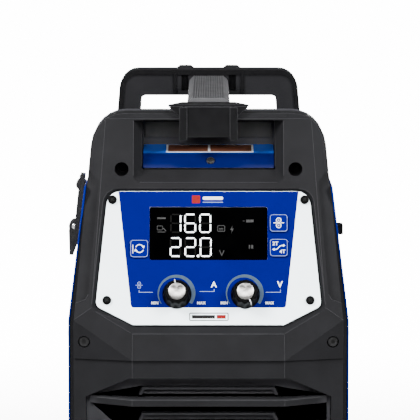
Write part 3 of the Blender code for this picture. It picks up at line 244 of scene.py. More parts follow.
def make_studio():
    """Dim white surroundings and four area lights."""
    world = bpy.data.worlds.new("studio")
    world.use_nodes = True
    world.node_tree.nodes["Background"].inputs["Color"].default_value = (1.0, 1.0, 1.0, 1.0)
    world.node_tree.nodes["Background"].inputs["Strength"].default_value = 0.2
    bpy.context.scene.world = world
    make_light("key", (-1.7, -1.5, 1.9), (0.0, -0.1, 0.22), (0.8, 1.0), 230.0)
    make_light("fill", (1.8, -1.6, 1.7), (0.0, -0.1, 0.22), (0.8, 1.0), 190.0)
    make_light("front", (0.0, -1.4, 0.6), (0.0, -0.1, 0.3), (0.6, 0.3), 20.0)
    make_light("top", (0.0, 0.1, 2.2), (0.0, 0.0, 0.3), (0.8, 0.8), 5.0)


# ---------------------------------------------------------------- materials


class Look:
    """A node material that is built up step by step. Sizes are in millimetres."""

    def __init__(self, name, colour, roughness, metallic=0.0, coat=0.0, shine=0.5):
        self.material = bpy.data.materials.new(name)
        self.material.use_nodes = True
        self.tree = self.material.node_tree
        self.shader = self.tree.nodes["Principled BSDF"]
        values = {"Base Color": (*colour, 1.0), "Roughness": roughness, "Metallic": metallic,
                  "Coat Weight": coat, "Coat Roughness": 0.08, "Specular IOR Level": shine}
        for name, value in values.items():
            self.shader.inputs[name].default_value = value
        self.material.diffuse_color = (*colour, 1.0)
        self.place = self.tree.nodes.new("ShaderNodeTexCoord")
        self.normal = None

    def node(self, kind, **values):
        """Adds a shader node, and sets its inputs and settings by name."""
        made = self.tree.nodes.new("ShaderNode" + kind)
        for key, value in values.items():
            if key in made.inputs:
                made.inputs[key].default_value = value
            else:
                setattr(made, key, value)
        return made

    def wire(self, source, target):
        self.tree.links.new(source, target)

    def stretched(self, stretch):
        """The object's own coordinates, stretched by a factor along each axis."""
        mapping = self.node("Mapping")
        mapping.inputs["Scale"].default_value = stretch
        self.wire(self.place.outputs["Object"], mapping.inputs["Vector"])
        return mapping.outputs["Vector"]

    def noise(self, size, detail=GRAIN_DETAIL, stretch=None):
        """Cloudy noise with patches of this size."""
        texture = self.node("TexNoise", Scale=1000.0 / size, Detail=detail)
        source = self.stretched(stretch) if stretch else self.place.outputs["Object"]
        self.wire(source, texture.inputs["Vector"])
        return texture.outputs["Fac"]

    def ramp(self, source, low, high):
        """Colours that go from low to high over the middle of the source's range."""
        ramp = self.node("ValToRGB")
        ramp.color_ramp.elements[0].position = RAMP_START
        ramp.color_ramp.elements[0].color = (*low, 1.0)
        ramp.color_ramp.elements[1].position = RAMP_END
        ramp.color_ramp.elements[1].color = (*high, 1.0)
        self.wire(source, ramp.inputs["Fac"])
        return ramp.outputs["Color"]

    def mottle(self, low, high, size):
        """The base colour drifts between two colours over patches of this size."""
        self.wire(self.ramp(self.noise(size, MOTTLE_DETAIL), low, high), self.shader.inputs["Base Color"])
        return self

    def sheen_drift(self, low, high, size, stretch=None):
        """The roughness drifts between two values over patches of this size."""
        drift = self.ramp(self.noise(size, SHEEN_DETAIL, stretch), (low,) * 3, (high,) * 3)
        self.wire(drift, self.shader.inputs["Roughness"])
        return self

    def bump(self, source, strength, depth):
        """Adds relief on top of the relief made so far."""
        bump = self.node("Bump", Strength=strength, Distance=depth * MM)
        self.wire(source, bump.inputs["Height"])
        if self.normal:
            self.wire(self.normal, bump.inputs["Normal"])
        self.normal = bump.outputs["Normal"]
        self.wire(self.normal, self.shader.inputs["Normal"])
        return self

    def grain(self, size, strength, depth, stretch=None):
        """Fine uneven relief with grains of this size."""
        return self.bump(self.noise(size, GRAIN_DETAIL, stretch), strength, depth)

    def ridges(self, pitch, direction, strength, depth, kind="BANDS"):
        """Regular ridges or grooves, at a pitch along an axis."""
        wave = self.node("TexWave", wave_type=kind, Scale=math.tau / 2 * 1000.0 / pitch / 10.0)
        if kind == "BANDS":
            wave.bands_direction = direction
        else:
            wave.rings_direction = direction
        self.wire(self.place.outputs["Object"], wave.inputs["Vector"])
        return self.bump(wave.outputs["Fac"], strength, depth)

    def paint_light_deep(self, colour, near, far):
        """Painted light: fades the base colour to another, paler one between two depths behind the chin, and
        keeps it beyond, where deep places get little lamp light.
        """
        parts = self.node("SeparateXYZ")
        self.wire(self.node("NewGeometry").outputs["Position"], parts.inputs[0])
        reach = self.node("MapRange")
        reach.inputs["From Min"].default_value = near * MM + CHIN_Y
        reach.inputs["From Max"].default_value = far * MM + CHIN_Y
        self.wire(parts.outputs[1], reach.inputs["Value"])
        mix = self.node("Mix", data_type="RGBA")
        base = self.shader.inputs["Base Color"]
        self.wire(base.links[0].from_socket, mix.inputs[6])
        mix.inputs[7].default_value = (*colour, 1.0)
        self.wire(reach.outputs["Result"], mix.inputs[0])
        self.wire(mix.outputs[2], base)
        return self


def glowing(name, colour, strength):
    """A colour that is lit from within."""
    look = Look(name, colour, 0.4)
    look.shader.inputs["Emission Color"].default_value = (*colour, 1.0)
    look.shader.inputs["Emission Strength"].default_value = strength
    return look.mottle(tuple(c * 0.92 for c in colour), colour, 1.5)


def moulded(name, colour, low, high, painted_light_inside=None):
    """Black plastic with a fine moulded grain. Deep inside, it is painted a paler colour as painted light,
    given with the two depths of its fade.
    """
    look = Look(name, colour, 0.65, shine=0.03).mottle(low, high, 22.0)
    if painted_light_inside:
        look.paint_light_deep(*painted_light_inside)
    return look.sheen_drift(0.55, 0.7, 14.0).grain(0.55, 0.5, 0.10).grain(0.22, 0.3, 0.05)


def make_looks():
    """Every look of the machine, by the name that the frame's slots and the pieces use."""
    blacks = ((0.0072, 0.0072, 0.0079), (0.0066, 0.0066, 0.0072), (0.0078, 0.0078, 0.0086))
    return {
        "black_plastic": moulded("moulded_black", *blacks),
        # painted light: frame and grille turn paler deep inside, on the niche's back wall and behind the
        # grille slats
        "frame_plastic": moulded("frame_black", *blacks, ((0.035, 0.035, 0.04), 84.0, 98.0)),
        "grille_plastic": moulded("grille_black", (0.0085, 0.0085, 0.0092), (0.0078, 0.0078, 0.0085),
                                  (0.0092, 0.0092, 0.0100), ((0.05, 0.05, 0.055), 14.0, 26.0)),
        # painted highlight: a paler black for crease bevels and beads, where light catches the rounded edges
        "edge_highlight": Look("painted_edge_highlight", (0.017, 0.017, 0.0185), 0.5, shine=0.05)
        .mottle((0.015, 0.015, 0.0165), (0.019, 0.019, 0.0205), 9.0).grain(0.4, 0.3, 0.04),
        "bare_black": Look("smooth_black", (0.0022, 0.0022, 0.0025), 0.55, shine=0.03)
        .mottle((0.0019, 0.0019, 0.0022), (0.0026, 0.0026, 0.0029), 9.0)
        .sheen_drift(0.36, 0.48, 5.0).grain(0.3, 0.25, 0.04),
        "blue_paint": Look("blue_enamel", (0.0006, 0.005, 0.11), 0.4, coat=0.02, shine=0.03)
        .mottle((0.0005, 0.0045, 0.10), (0.0007, 0.006, 0.12), 60.0)
        .sheen_drift(0.36, 0.44, 30.0).grain(0.5, 0.12, 0.02),
        # painted light: from 60 to 66 mm behind the chin, the hood's top turns a much paler blue, for light
        # that does not reach it in the niche
        "hood_blue": Look("hood_blue", (0.0003, 0.002, 0.034), 0.25, coat=0.1, shine=0.15)
        .mottle((0.0003, 0.0018, 0.030), (0.0004, 0.0023, 0.038), 25.0)
        .paint_light_deep((0.004, 0.10, 0.62), 60.0, 66.0).grain(2.5, 0.08, 0.05),
        "white_plate": Look("plate_white", (0.84, 0.93, 0.97), 0.4, shine=0.3)
        .mottle((0.82, 0.915, 0.96), (0.86, 0.945, 0.98), 18.0)
        .sheen_drift(0.36, 0.44, 10.0).grain(0.25, 0.12, 0.02),
        "film_blue": Look("film_blue", (0.0002, 0.0004, 0.070), 0.5, shine=0.0)
        .mottle((0.0002, 0.0004, 0.067), (0.0002, 0.0005, 0.074), 30.0)
        .sheen_drift(0.36, 0.44, 12.0).grain(0.25, 0.15, 0.02),
        "button_blue": Look("button_blue", (0.0002, 0.0006, 0.078), 0.5, shine=0.0)
        .mottle((0.0002, 0.0005, 0.074), (0.0002, 0.0007, 0.082), 6.0).grain(0.3, 0.15, 0.02),
        "ink_white": Look("ink_white", (0.55, 0.57, 0.6), 0.5, shine=0.1)
        .mottle((0.52, 0.54, 0.58), (0.6, 0.61, 0.63), 1.2),
        "ink_pale": Look("ink_pale", (0.10, 0.13, 0.26), 0.5, shine=0.1)
        .mottle((0.09, 0.12, 0.25), (0.12, 0.15, 0.28), 1.2),
        "ink_scale": Look("ink_scale", (0.022, 0.038, 0.066), 0.5, shine=0.1)
        .mottle((0.019, 0.034, 0.066), (0.026, 0.044, 0.066), 3.0),
        "ink_red": Look("ink_red", (0.13, 0.0006, 0.001), 0.5, shine=0.1)
        .mottle((0.12, 0.0005, 0.001), (0.14, 0.0008, 0.0015), 1.5),
        # black print, also used as painted shade for the recesses in screw heads
        "print_and_shade_black": Look("print_and_shade_black", (0.0018,) * 3, 0.5, shine=0.1)
        .mottle((0.0015,) * 3, (0.0022,) * 3, 1.5),
        "display_black": Look("display_glass", (0.0002, 0.0002, 0.00025), 0.2, shine=0.0)
        .mottle((0.00015, 0.00015, 0.0002), (0.0003, 0.0003, 0.00035), 12.0).sheen_drift(0.16, 0.24, 25.0),
        "lit_segment": glowing("lit_segment", (0.95, 0.98, 1.0), 2.2),
        "dim_segment": Look("dim_segment", (0.0024, 0.0022, 0.002), 0.5, shine=0.03)
        .mottle((0.002, 0.0019, 0.0018), (0.0028, 0.0026, 0.0022), 1.0),
        "dim_icon": Look("dim_icon", (0.024, 0.024, 0.026), 0.5, shine=0.05)
        .mottle((0.018,) * 3, (0.03,) * 3, 0.8),
        "knob_black": Look("knob_black", (0.0010, 0.0010, 0.0012), 0.5, shine=0.02)
        .mottle((0.0009,) * 3, (0.0016,) * 3, 4.0).sheen_drift(0.45, 0.55, 3.0).grain(0.3, 0.2, 0.03),
        "spun_aluminium": spun_aluminium(),
        "aluminium": Look("milled_aluminium", (0.72, 0.73, 0.75), 0.34, 1.0)
        .mottle((0.66, 0.67, 0.7), (0.76, 0.77, 0.79), 5.0)
        .sheen_drift(0.28, 0.42, 3.0, (1, 1, 14)).grain(0.6, 0.25, 0.03, (1, 1, 20)),
        "steel": Look("zinc_steel", (0.52, 0.54, 0.57), 0.32, 1.0)
        .mottle((0.46, 0.48, 0.52), (0.58, 0.59, 0.61), 9.0)
        .sheen_drift(0.24, 0.42, 6.0).grain(0.7, 0.2, 0.03),
        "bright_steel": Look("bright_steel", (0.62, 0.63, 0.65), 0.2, 1.0)
        .mottle((0.56, 0.57, 0.6), (0.68, 0.69, 0.7), 3.0).sheen_drift(0.16, 0.28, 2.0)
        .grain(0.5, 0.2, 0.02),
        "dark_steel": Look("dark_steel", (0.014, 0.014, 0.015), 0.4, 0.5, shine=0.15)
        .mottle((0.011,) * 3, (0.017, 0.017, 0.018), 2.0).sheen_drift(0.3, 0.45, 1.5)
        .grain(0.3, 0.25, 0.03),
        # painted light: the niche's wall pads are painted grey, paler than the black frame, for light that
        # does not reach the shaded niche
        "pad_grey_painted_light": Look("pad_grey_painted_light", (0.03, 0.03, 0.031), 0.6, shine=0.1)
        .mottle((0.027,) * 3, (0.033, 0.033, 0.034), 8.0).grain(0.5, 0.4, 0.06),
        "rubber": Look("foot_rubber", (0.005, 0.005, 0.005), 0.8, shine=0.1)
        .mottle((0.004,) * 3, (0.006,) * 3, 5.0).grain(0.5, 0.5, 0.08),
        "grip_grey": Look("grip_rubber", (0.048, 0.048, 0.0505), 0.8, shine=0.02)
        .mottle((0.045, 0.045, 0.0475), (0.052, 0.052, 0.0545), 12.0)
        .sheen_drift(0.55, 0.7, 8.0).grain(0.5, 0.5, 0.07),
        "brass": Look("turned_brass", (0.72, 0.48, 0.17), 0.25, 1.0)
        .mottle((0.66, 0.43, 0.14), (0.76, 0.52, 0.21), 4.0).sheen_drift(0.2, 0.34, 2.0)
        .ridges(0.5, "Y", 0.12, 0.02),
        "circuit_board": circuit_board(),
        "copper_wire": Look("wound_wire", (0.62, 0.27, 0.13), 0.3, 1.0)
        .mottle((0.55, 0.23, 0.11), (0.70, 0.33, 0.17), 7.0)
        .sheen_drift(0.24, 0.38, 2.0).ridges(0.9, "X", 0.8, 0.35),
        "spool_plastic": Look("spool_plastic", (0.007, 0.007, 0.008), 0.45, shine=0.2)
        .mottle((0.006,) * 3, (0.008, 0.008, 0.009), 14.0).grain(0.5, 0.3, 0.05),
        "label_film": Look("label_film", (0.10, 0.035, 0.018), 0.5, shine=0.1)
        .mottle((0.085, 0.03, 0.015), (0.12, 0.042, 0.022), 9.0).grain(0.3, 0.1, 0.02),
    }


def spun_aluminium():
    """Turned metal with a highlight that fans out from the middle."""
    look = Look("spun_aluminium", (0.28, 0.27, 0.26), 0.34, 1.0)
    look.mottle((0.25, 0.24, 0.23), (0.31, 0.30, 0.29), 1.6)
    look.shader.inputs["Anisotropic"].default_value = 0.75
    tangent = look.node("Tangent", direction_type="RADIAL", axis="Z")
    look.wire(tangent.outputs["Tangent"], look.shader.inputs["Tangent"])
    return look.ridges(0.35, "Z", 0.15, 0.01, "RINGS")


def circuit_board():
    """Green solder mask with pale tracks."""
    look = Look("circuit_board", (0.004, 0.035, 0.012), 0.35, shine=0.2)
    tracks = look.node("TexBrick", Scale=110.0, Color1=(0.003, 0.03, 0.010, 1.0),
                       Color2=(0.005, 0.042, 0.015, 1.0), Mortar=(0.018, 0.08, 0.032, 1.0))
    tracks.inputs["Mortar Size"].default_value = 0.03
    look.wire(look.place.outputs["Object"], tracks.inputs["Vector"])
    look.wire(tracks.outputs["Color"], look.shader.inputs["Base Color"])
    return look.bump(tracks.outputs["Fac"], 0.3, 0.05).grain(0.8, 0.15, 0.03)


# ---------------------------------------------------------------- shapes


class Shape:
    """Gathers closed solids in one mesh, with points (across, up, out) put down by a place function."""

    def __init__(self, place):
        self.mesh = bmesh.new()
        self.place = place

    def loft(self, rings):
        """A solid through rings of points, closed at both ends."""
        rows = [[self.mesh.verts.new(self.place(*point)) for point in ring] for ring in rings]
        for lower, upper in zip(rows, rows[1:]):
            join_rings(self.mesh, lower, upper)
        self.mesh.faces.new(list(reversed(rows[0])))
        self.mesh.faces.new(rows[-1])
        return self

    def slab(self, outline, low, high):
        """An outline given a thickness, between two heights."""
        return self.loft([[(a, b, out) for a, b in outline] for out in (low, high)])

    def box(self, a, b, low, high):
        """A slab between two values across and two values up."""
        return self.slab([(a[0], b[0]), (a[1], b[0]), (a[1], b[1]), (a[0], b[1])], low, high)

    def sheet(self, outline, holes, low, high):
        """A thin flat layer with holes through it."""
        edges = []
        for loop in (outline, *holes):
            corners = [self.mesh.verts.new(self.place(a, b, low)) for a, b in loop]
            edges += [self.mesh.edges.new((corners[k - 1], corners[k])) for k in range(len(corners))]
        filled = bmesh.ops.triangle_fill(self.mesh, edges=edges, use_beauty=True)["geom"]
        faces = [item for item in filled if isinstance(item, bmesh.types.BMFace)]
        raised = bmesh.ops.extrude_face_region(self.mesh, geom=faces, use_keep_orig=True)["geom"]
        rise = self.place(0.0, 0.0, high) - self.place(0.0, 0.0, low)
        corners = [item for item in raised if isinstance(item, bmesh.types.BMVert)]
        bmesh.ops.translate(self.mesh, verts=corners, vec=rise)
        return self

    def lathe(self, profile, centre=(0.0, 0.0), count=32):
        """A turned solid from (radius, out) points, closed at both ends."""
        return self.loft([[(*p, out) for p in circle(radius, count, centre)] for radius, out in profile])

    def ribbon(self, points, width, low, high, closed=False):
        """A flat band along points on the surface, as an open line or a closed loop."""
        rows = []
        count = len(points)
        for k, point in enumerate(points):
            before = points[k - 1] if closed or k else points[k]
            after = points[(k + 1) % count] if closed or k < count - 1 else points[k]
            along_in = (Vector(point) - Vector(before)).normalized() if before != point else None
            along_out = (Vector(after) - Vector(point)).normalized() if after != point else None
            along = ((along_in or along_out) + (along_out or along_in)).normalized()
            reach = width / 2 / max(0.5, along.dot(along_out or along_in))
            side = Vector((-along.y, along.x)) * reach
            left, right = Vector(point) + side, Vector(point) - side
            rows.append([(*left, low), (*right, low), (*right, high), (*left, high)])
        if not closed:
            return self.loft(rows)
        rings = [[self.mesh.verts.new(self.place(*p)) for p in row] for row in rows]
        for ring, following in zip(rings, rings[1:] + rings[:1]):
            join_rings(self.mesh, ring, following)
        return self

    def piece(self, name, look, body="chassis", smooth_angle=35.0, bevel=0.0):
        """Makes the object, and lets it ride on a body of the frame."""
        bmesh.ops.recalc_face_normals(self.mesh, faces=self.mesh.faces)
        mesh = finished_mesh(name, self.mesh, LOOKS[look])
        mesh.shade_smooth()
        mesh.set_sharp_from_angle(angle=math.radians(smooth_angle))
        obj = add_object(name, mesh)
        if bevel:
            add_bevel(obj, bevel)
        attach(obj, body)
        return obj


def circle(radius, count=32, centre=(0.0, 0.0)):
    """Outline of a circle, anticlockwise from its right."""
    angles = [math.tau * k / count for k in range(count)]
    return [(centre[0] + radius * math.cos(a), centre[1] + radius * math.sin(a)) for a in angles]


def rounded(corners, steps=5):
    """A closed outline from (across, up, radius) corners, with each corner turned as an arc."""
    points = []
    for i, (a, b, radius) in enumerate(corners):
        here = Vector((a, b))
        before = (Vector(corners[i - 1][:2]) - here).normalized()
        after = (Vector(corners[(i + 1) % len(corners)][:2]) - here).normalized()
        half_angle = before.angle(after) / 2
        centre = here + (before + after).normalized() * radius / math.sin(half_angle)
        start = here + before * radius / math.tan(half_angle) - centre
        end = here + after * radius / math.tan(half_angle) - centre
        ways = [start.slerp(end, k / steps).normalized() for k in range(steps + 1)]
        points += [tuple(centre + way * radius) for way in ways]
    return points


def arc(centre, radius, start, end, count=12):
    """Points of an arc between two angles in degrees, anticlockwise from the right."""
    angles = [math.radians(start + (end - start) * k / (count - 1)) for k in range(count)]
    return [(centre[0] + radius * math.cos(a), centre[1] + radius * math.sin(a)) for a in angles]


def rounded_box(a, b, radius, steps=5):
    """Outline of a rectangle with rounded corners, anticlockwise from its lower right."""
    points = []
    for cx, cy, start in ((a[1] - radius, b[0] + radius, -90), (a[1] - radius, b[1] - radius, 0),
                          (a[0] + radius, b[1] - radius, 90), (a[0] + radius, b[0] + radius, 180)):
        points += arc((cx, cy), radius, start, start + 90, steps)
    return points


def add_bevel(obj, width):
    """Rounds the sharp edges of an object."""
    bevel = obj.modifiers.new("soft_edges", "BEVEL")
    bevel.width = width * MM
    bevel.segments = 2
    bevel.limit_method = "ANGLE"
    bevel.angle_limit = math.radians(SHARP_TURN)
    bevel.harden_normals = True
    bevel.miter_outer = "MITER_ARC"


def soften(name, width):
    """Rounds a CAD node's sharp edges. Triangles are first joined into faces, but not on pierced sheets."""
    node = nodes[name]
    if "custom_normal" in node.data.attributes:
        node.data.attributes.remove(node.data.attributes["custom_normal"])
    node.data.shade_smooth()
    weld = node.modifiers.new("weld", "WELD")
    weld.merge_threshold = WELD_REACH
    if name not in PIERCED:
        flat = node.modifiers.new("flat_faces", "DECIMATE")
        flat.decimate_type = "DISSOLVE"
        flat.angle_limit = math.radians(FLAT_TURN)
    add_bevel(node, width)
    even = node.modifiers.new("even_shading", "WEIGHTED_NORMAL")
    even.weight = 100
    even.keep_sharp = True


def joined_faces(name):
    """A CAD node's mesh, with its triangles joined into flat faces."""
    shape = bmesh.new()
    shape.from_mesh(nodes[name].data)
    bmesh.ops.remove_doubles(shape, verts=shape.verts, dist=WELD_REACH)
    flat = math.radians(FLAT_TURN)
    bmesh.ops.dissolve_limit(shape, angle_limit=flat, verts=shape.verts, edges=shape.edges)
    shape.normal_update()
    return shape


def crisp(name, width, look):
    """A copy of a CAD node for display, with a bevel on every crease painted pale as a highlight, and smooth
    rolled corners.
    """
    shape = joined_faces(name)
    weight = shape.edges.layers.float.new("bevel_weight_edge")
    rolled_faces = set()
    for edge in shape.edges:
        turn = math.degrees(edge.calc_face_angle(0.0))
        rolled = abs((edge.verts[1].co - edge.verts[0].co).normalized().y) > ALONG_Y
        if turn > SHARP_TURN or (turn > CREASE_TURN and not rolled):
            edge[weight] = 1.0
        elif rolled and turn > CREASE_TURN:
            rolled_faces.update(edge.link_faces)
    for face in shape.faces:
        face.smooth = face in rolled_faces
    mesh = finished_mesh(name + "_shell", shape, LOOKS[look], LOOKS["edge_highlight"])
    shell = add_object(name + "_shell", mesh)
    add_bevel(shell, width)
    shell.modifiers["soft_edges"].limit_method = "WEIGHT"
    shell.modifiers["soft_edges"].material = 1
    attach(shell, "chassis")
    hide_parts(name)


def crease_lines(name, width, steepest=70.0, shortest=4.0):
    """Fine pale beads where a moulding's faces meet, as light catches a rounded crease."""
    shape = joined_faces(name)
    beads = Shape(lambda x, y, z: (x, y, z))
    for edge in shape.edges:
        start, end = (vert.co for vert in edge.verts)
        way = (end - start).normalized()
        turn = math.degrees(edge.calc_face_angle_signed(0.0))
        too_short = (end - start).length < shortest * MM
        if too_short or abs(way.y) > ALONG_Y or not CREASE_TURN < turn < steepest:
            continue
        side = way.orthogonal().normalized() * width * MM / 2
        rise = way.cross(side)
        beads.loft([[point + side * cos + rise * sin for cos, sin in circle(1.0, 6)]
                    for point in (start, end)])
    shape.free()
    mesh = finished_mesh(name + "_creases", beads.mesh, LOOKS["edge_highlight"])
    lines = add_object(name + "_creases", mesh)
    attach(lines, "chassis")


def lettering(name, text, centre, size, bold, out=0.1, body="chassis"):
    """Plain white letters or figures in Blender's own typeface, on the control plate."""
    curve = bpy.data.curves.new(name, "FONT")
    curve.body = text
    curve.size = size
    curve.align_x = "CENTER"
    curve.align_y = "CENTER"
    curve.extrude = 0.04
    curve.offset = bold
    source = add_object(name + "_source", curve)
    bpy.context.view_layer.update()
    mesh = bpy.data.meshes.new_from_object(source.evaluated_get(bpy.context.evaluated_depsgraph_get()))
    bpy.data.objects.remove(source)
    place = on_plate_at(*centre)
    for vertex in mesh.vertices:
        vertex.co = place(vertex.co.x, vertex.co.y, vertex.co.z + out)
    mesh.name = name
    mesh.materials.clear()
    mesh.materials.append(LOOKS["ink_white"].material)
    obj = add_object(name, mesh)
    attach(obj, body)


# ---------------------------------------------------------------- finishes of the frame's own parts


# The frame's parts take the look of their slot, but for these
NODE_LOOKS = {"hinge_leaf": "blue_paint", "front_frame": "frame_plastic", "front_grille": "grille_plastic",
              "latch_base": "dark_steel", "latch_lever": "dark_steel", "latch_bail": "dark_steel",
              "latch_keeper": "dark_steel", "handle_foot": "bare_black", "cable_gland": "bare_black",
              "strap_stud": "bare_black", "chin_screw_left": "dark_steel", "chin_screw_right": "dark_steel"}
PIERCED = {"control_plate"}
# Widths of the bevels, with and without a pale edge painted on as a highlight
CRISP_EDGES = {"front_frame": 0.4, "rear_frame": 1.2, "handle_foot": 0.5, "front_grille": 0.4}
SOFT_EDGES = {"rear_loop": 1.0, "handle_grip": 0.5, "top_cover": 0.3, "spool_door": 0.3,
              "control_plate": 0.15, "base_pan": 0.3, "latch_lever": 0.5, "latch_base": 0.25,
              "latch_bail": 0.3, "latch_keeper": 0.3,
              "power_switch_body": 0.5, "power_switch_rocker": 0.5, "pressure_arm": 0.7, "feed_plate": 0.4,
              "hub_nut": 1.0, "tension_knob": 0.6, "fan_frame": 0.5, "strap_stud": 0.8, "cable_gland": 0.5,
              "gas_inlet": 0.3, "heat_sink": 0.2, "foot_front_left": 0.8, "foot_front_right": 0.8,
              "foot_rear_left": 0.8, "foot_rear_right": 0.8, "hinge_leaf": 0.2, "spool_hub": 0.6,
              "euro_connector": 0.4, "positive_socket": 0.5, "negative_socket": 0.5, "divider_panel": 0.2}


def finish_frame():
    """Gives every CAD node its look and its edges."""
    slots = {part["node"]: part["material_slot"] for part in frame["record"]["subparts"]}
    for name, node in nodes.items():
        look = NODE_LOOKS.get(name, slots[name])
        node.data.materials.clear()
        node.data.materials.append(LOOKS[look].material)
    for name, width in SOFT_EDGES.items():
        soften(name, width)
    for name, width in CRISP_EDGES.items():
        crisp(name, width, NODE_LOOKS.get(name, slots[name]))
    crease_lines("front_frame", 0.45)


# ---------------------------------------------------------------- control plate


FILM_CORNERS = [(55.6, 19.8, 2.2), (65.1, 105.4, 0.4), (-65.1, 105.4, 0.4), (-55.6, 19.8, 2.2)]
DISPLAY = ((-42.3, 42.3), (55.0, 93.7))
SCALE_CENTRES = {"wire_speed": (-23.0, 30.3), "voltage": (26.1, 30.5)}
SCALE_RADIUS, SCALE_END = 13.7, 22.2
SCALE_WIDTHS = (0.7, 3.9)


def printed_film():
    """Blue film over the middle of the white plate, cut out round the display, keys and shafts."""
    gap, shaft_hole = 0.3, 3.6
    holes = [rounded_box((DISPLAY[0][0] - gap, DISPLAY[0][1] + gap),
                         (DISPLAY[1][0] - gap, DISPLAY[1][1] + gap), 1.2)]
    for u, v in BUTTONS.values():
        holes.append(rounded_box((u - KEY_HOLE, u + KEY_HOLE), (v - KEY_HOLE, v + KEY_HOLE), 2.8))
    holes += [circle(shaft_hole, 24, (u, KNOB_UP)) for u in KNOB_ACROSS.values()]
    film = Shape(on_plate).sheet(rounded(FILM_CORNERS), holes, 0.01, FILM_OUT)
    film.piece("blue_film", "film_blue")


def knob_scale(name, centre):
    """Tapered scale round a knob, from its lower left over the top to its lower right."""
    fall = math.degrees(math.asin((centre[1] - SCALE_END) / SCALE_RADIUS))
    count = 49
    outer, inner = [], []
    for k in range(count):
        angle = math.radians(180 + fall - (180 + 2 * fall) * k / (count - 1))
        width = SCALE_WIDTHS[0] + (SCALE_WIDTHS[1] - SCALE_WIDTHS[0]) * k / (count - 1)
        reach = Vector((math.cos(angle), math.sin(angle)))
        outer.append(tuple(reach * SCALE_RADIUS))
        low_end = (SCALE_END - centre[1]) / reach.y if reach.y < -0.1 else SCALE_RADIUS
        inner.append(tuple(reach * min(SCALE_RADIUS - width, low_end)))
    scale = Shape(on_plate_at(*centre)).slab(outer + inner[::-1], FILM_OUT, INK_OUT)
    scale.piece(name + "_scale", "ink_scale")


def bracket(name, points):
    """Thin printed line."""
    Shape(on_plate).ribbon(points, 0.5, FILM_OUT, INK_OUT).piece(name, "ink_pale")


def rollers(shape, centre, radius, width, low, high):
    """Symbol of a wire between two feed rolls."""
    for side in (-1, 1):
        middle = (centre[0], centre[1] + side * radius)
        shape.ribbon(circle(radius - width / 2, 20, middle), width, low, high, closed=True)
        shape.slab(circle(radius * 0.22, 10, middle), low, high)
    for side in (-1, 1):
        start = (centre[0] + side * radius * 0.75, centre[1])
        end = (centre[0] + side * radius * 1.95, centre[1])
        shape.ribbon([start, end], width, low, high)
    return shape


def plate_print():
    """Scales, lead lines and letters of the film, with the marks above and below them."""
    for name, centre in SCALE_CENTRES.items():
        knob_scale(name, centre)
    bracket("wire_speed_lead", [(-49.9, 32.4), (-49.9, 31.0), (-40.0, 31.0)])
    bracket("ampere_lead", [(4.1, 33.4), (4.1, 31.6), (-6.4, 31.6)])
    bracket("volt_lead", [(51.8, 33.0), (51.8, 31.0), (41.1, 31.0)])
    symbol = rollers(Shape(on_plate), (-49.9, 36.2), 1.35, 0.45, FILM_OUT, INK_OUT)
    symbol.piece("wire_speed_symbol", "ink_pale")
    lettering("ampere_sign", "A", (3.9, 36.5), 6.0, 0.12)
    lettering("volt_sign", "V", (51.4, 36.6), 6.4, 0.12)
    for word, side, u in (("min", "left", -38.6), ("min", "right", 11.3),
                          ("max", "left", -5.2), ("max", "right", 44.0)):
        lettering(f"{word}_{side}", word.upper(), (u, 23.1), 2.9, 0.04)
    badge = Shape(on_plate_at(0.3, 13.1))
    badge.ribbon(rounded_box((-13.8, 13.8), (-2.65, 2.65), 0.6), 0.65, 0.0, 0.14, closed=True)
    badge.box((-12.2, 4.4), (-1.3, 1.3), 0.0, 0.14).piece("badge_frame", "print_and_shade_black")
    block = Shape(on_plate_at(0.3, 13.1)).box((5.6, 12.2), (-1.4, 1.4), 0.0, 0.14)
    block.piece("badge_block", "ink_red")
    for name, centre, half, radius, look in (("head_mark", (-9.0, 99.6), (3.0, 3.0), 0.8, "ink_red"),
                                             ("head_bar", (3.2, 100.4), (7.4, 1.2), 1.1, "ink_white"),
                                             ("head_line", (3.2, 97.4), (7.4, 0.35), 0.3, "ink_pale")):
        outline = rounded_box((-half[0], half[0]), (-half[1], half[1]), radius)
        Shape(on_plate_at(*centre)).slab(outline, FILM_OUT, INK_OUT).piece(name, look)


# Where each segment of a figure starts, across and up, and which way it runs
SEGMENTS = {"a": (0.0, 1.0, "flat"), "g": (0.0, 0.5, "flat"), "d": (0.0, 0.0, "flat"), "f": (0.0, 0.5, "up"),
            "b": (1.0, 0.5, "up"), "e": (0.0, 0.0, "up"), "c": (1.0, 0.0, "up")}
FIGURES = {"0": "abcdef", "1": "bc", "2": "abged", "6": "afgedc"}
STROKE, STROKE_GAP = 0.9, 0.45


def digit(lit, dim, across, up, figure):
    """A seven-segment figure, with its unlit segments faintly visible."""
    wide, high = across[1] - across[0] - STROKE, up[1] - up[0] - STROKE
    for name, (a, b, run) in SEGMENTS.items():
        start = Vector((across[0] + STROKE / 2 + a * wide, up[0] + STROKE / 2 + b * high))
        along = Vector((wide, 0.0)) if run == "flat" else Vector((0.0, high / 2))
        way = along.normalized()
        start, end = start + way * (STROKE / 2 + STROKE_GAP), start + along - way * (STROKE / 2 + STROKE_GAP)
        side = Vector((-way.y, way.x)) * STROKE / 2
        tip = way * STROKE * 0.35
        outline = [start - tip, start - side, end - side, end + tip, end + side, start + side]
        shape = lit if name in FIGURES[figure] else dim
        shape.slab([tuple(p) for p in outline], LENS_OUT, LENS_OUT + 0.05)


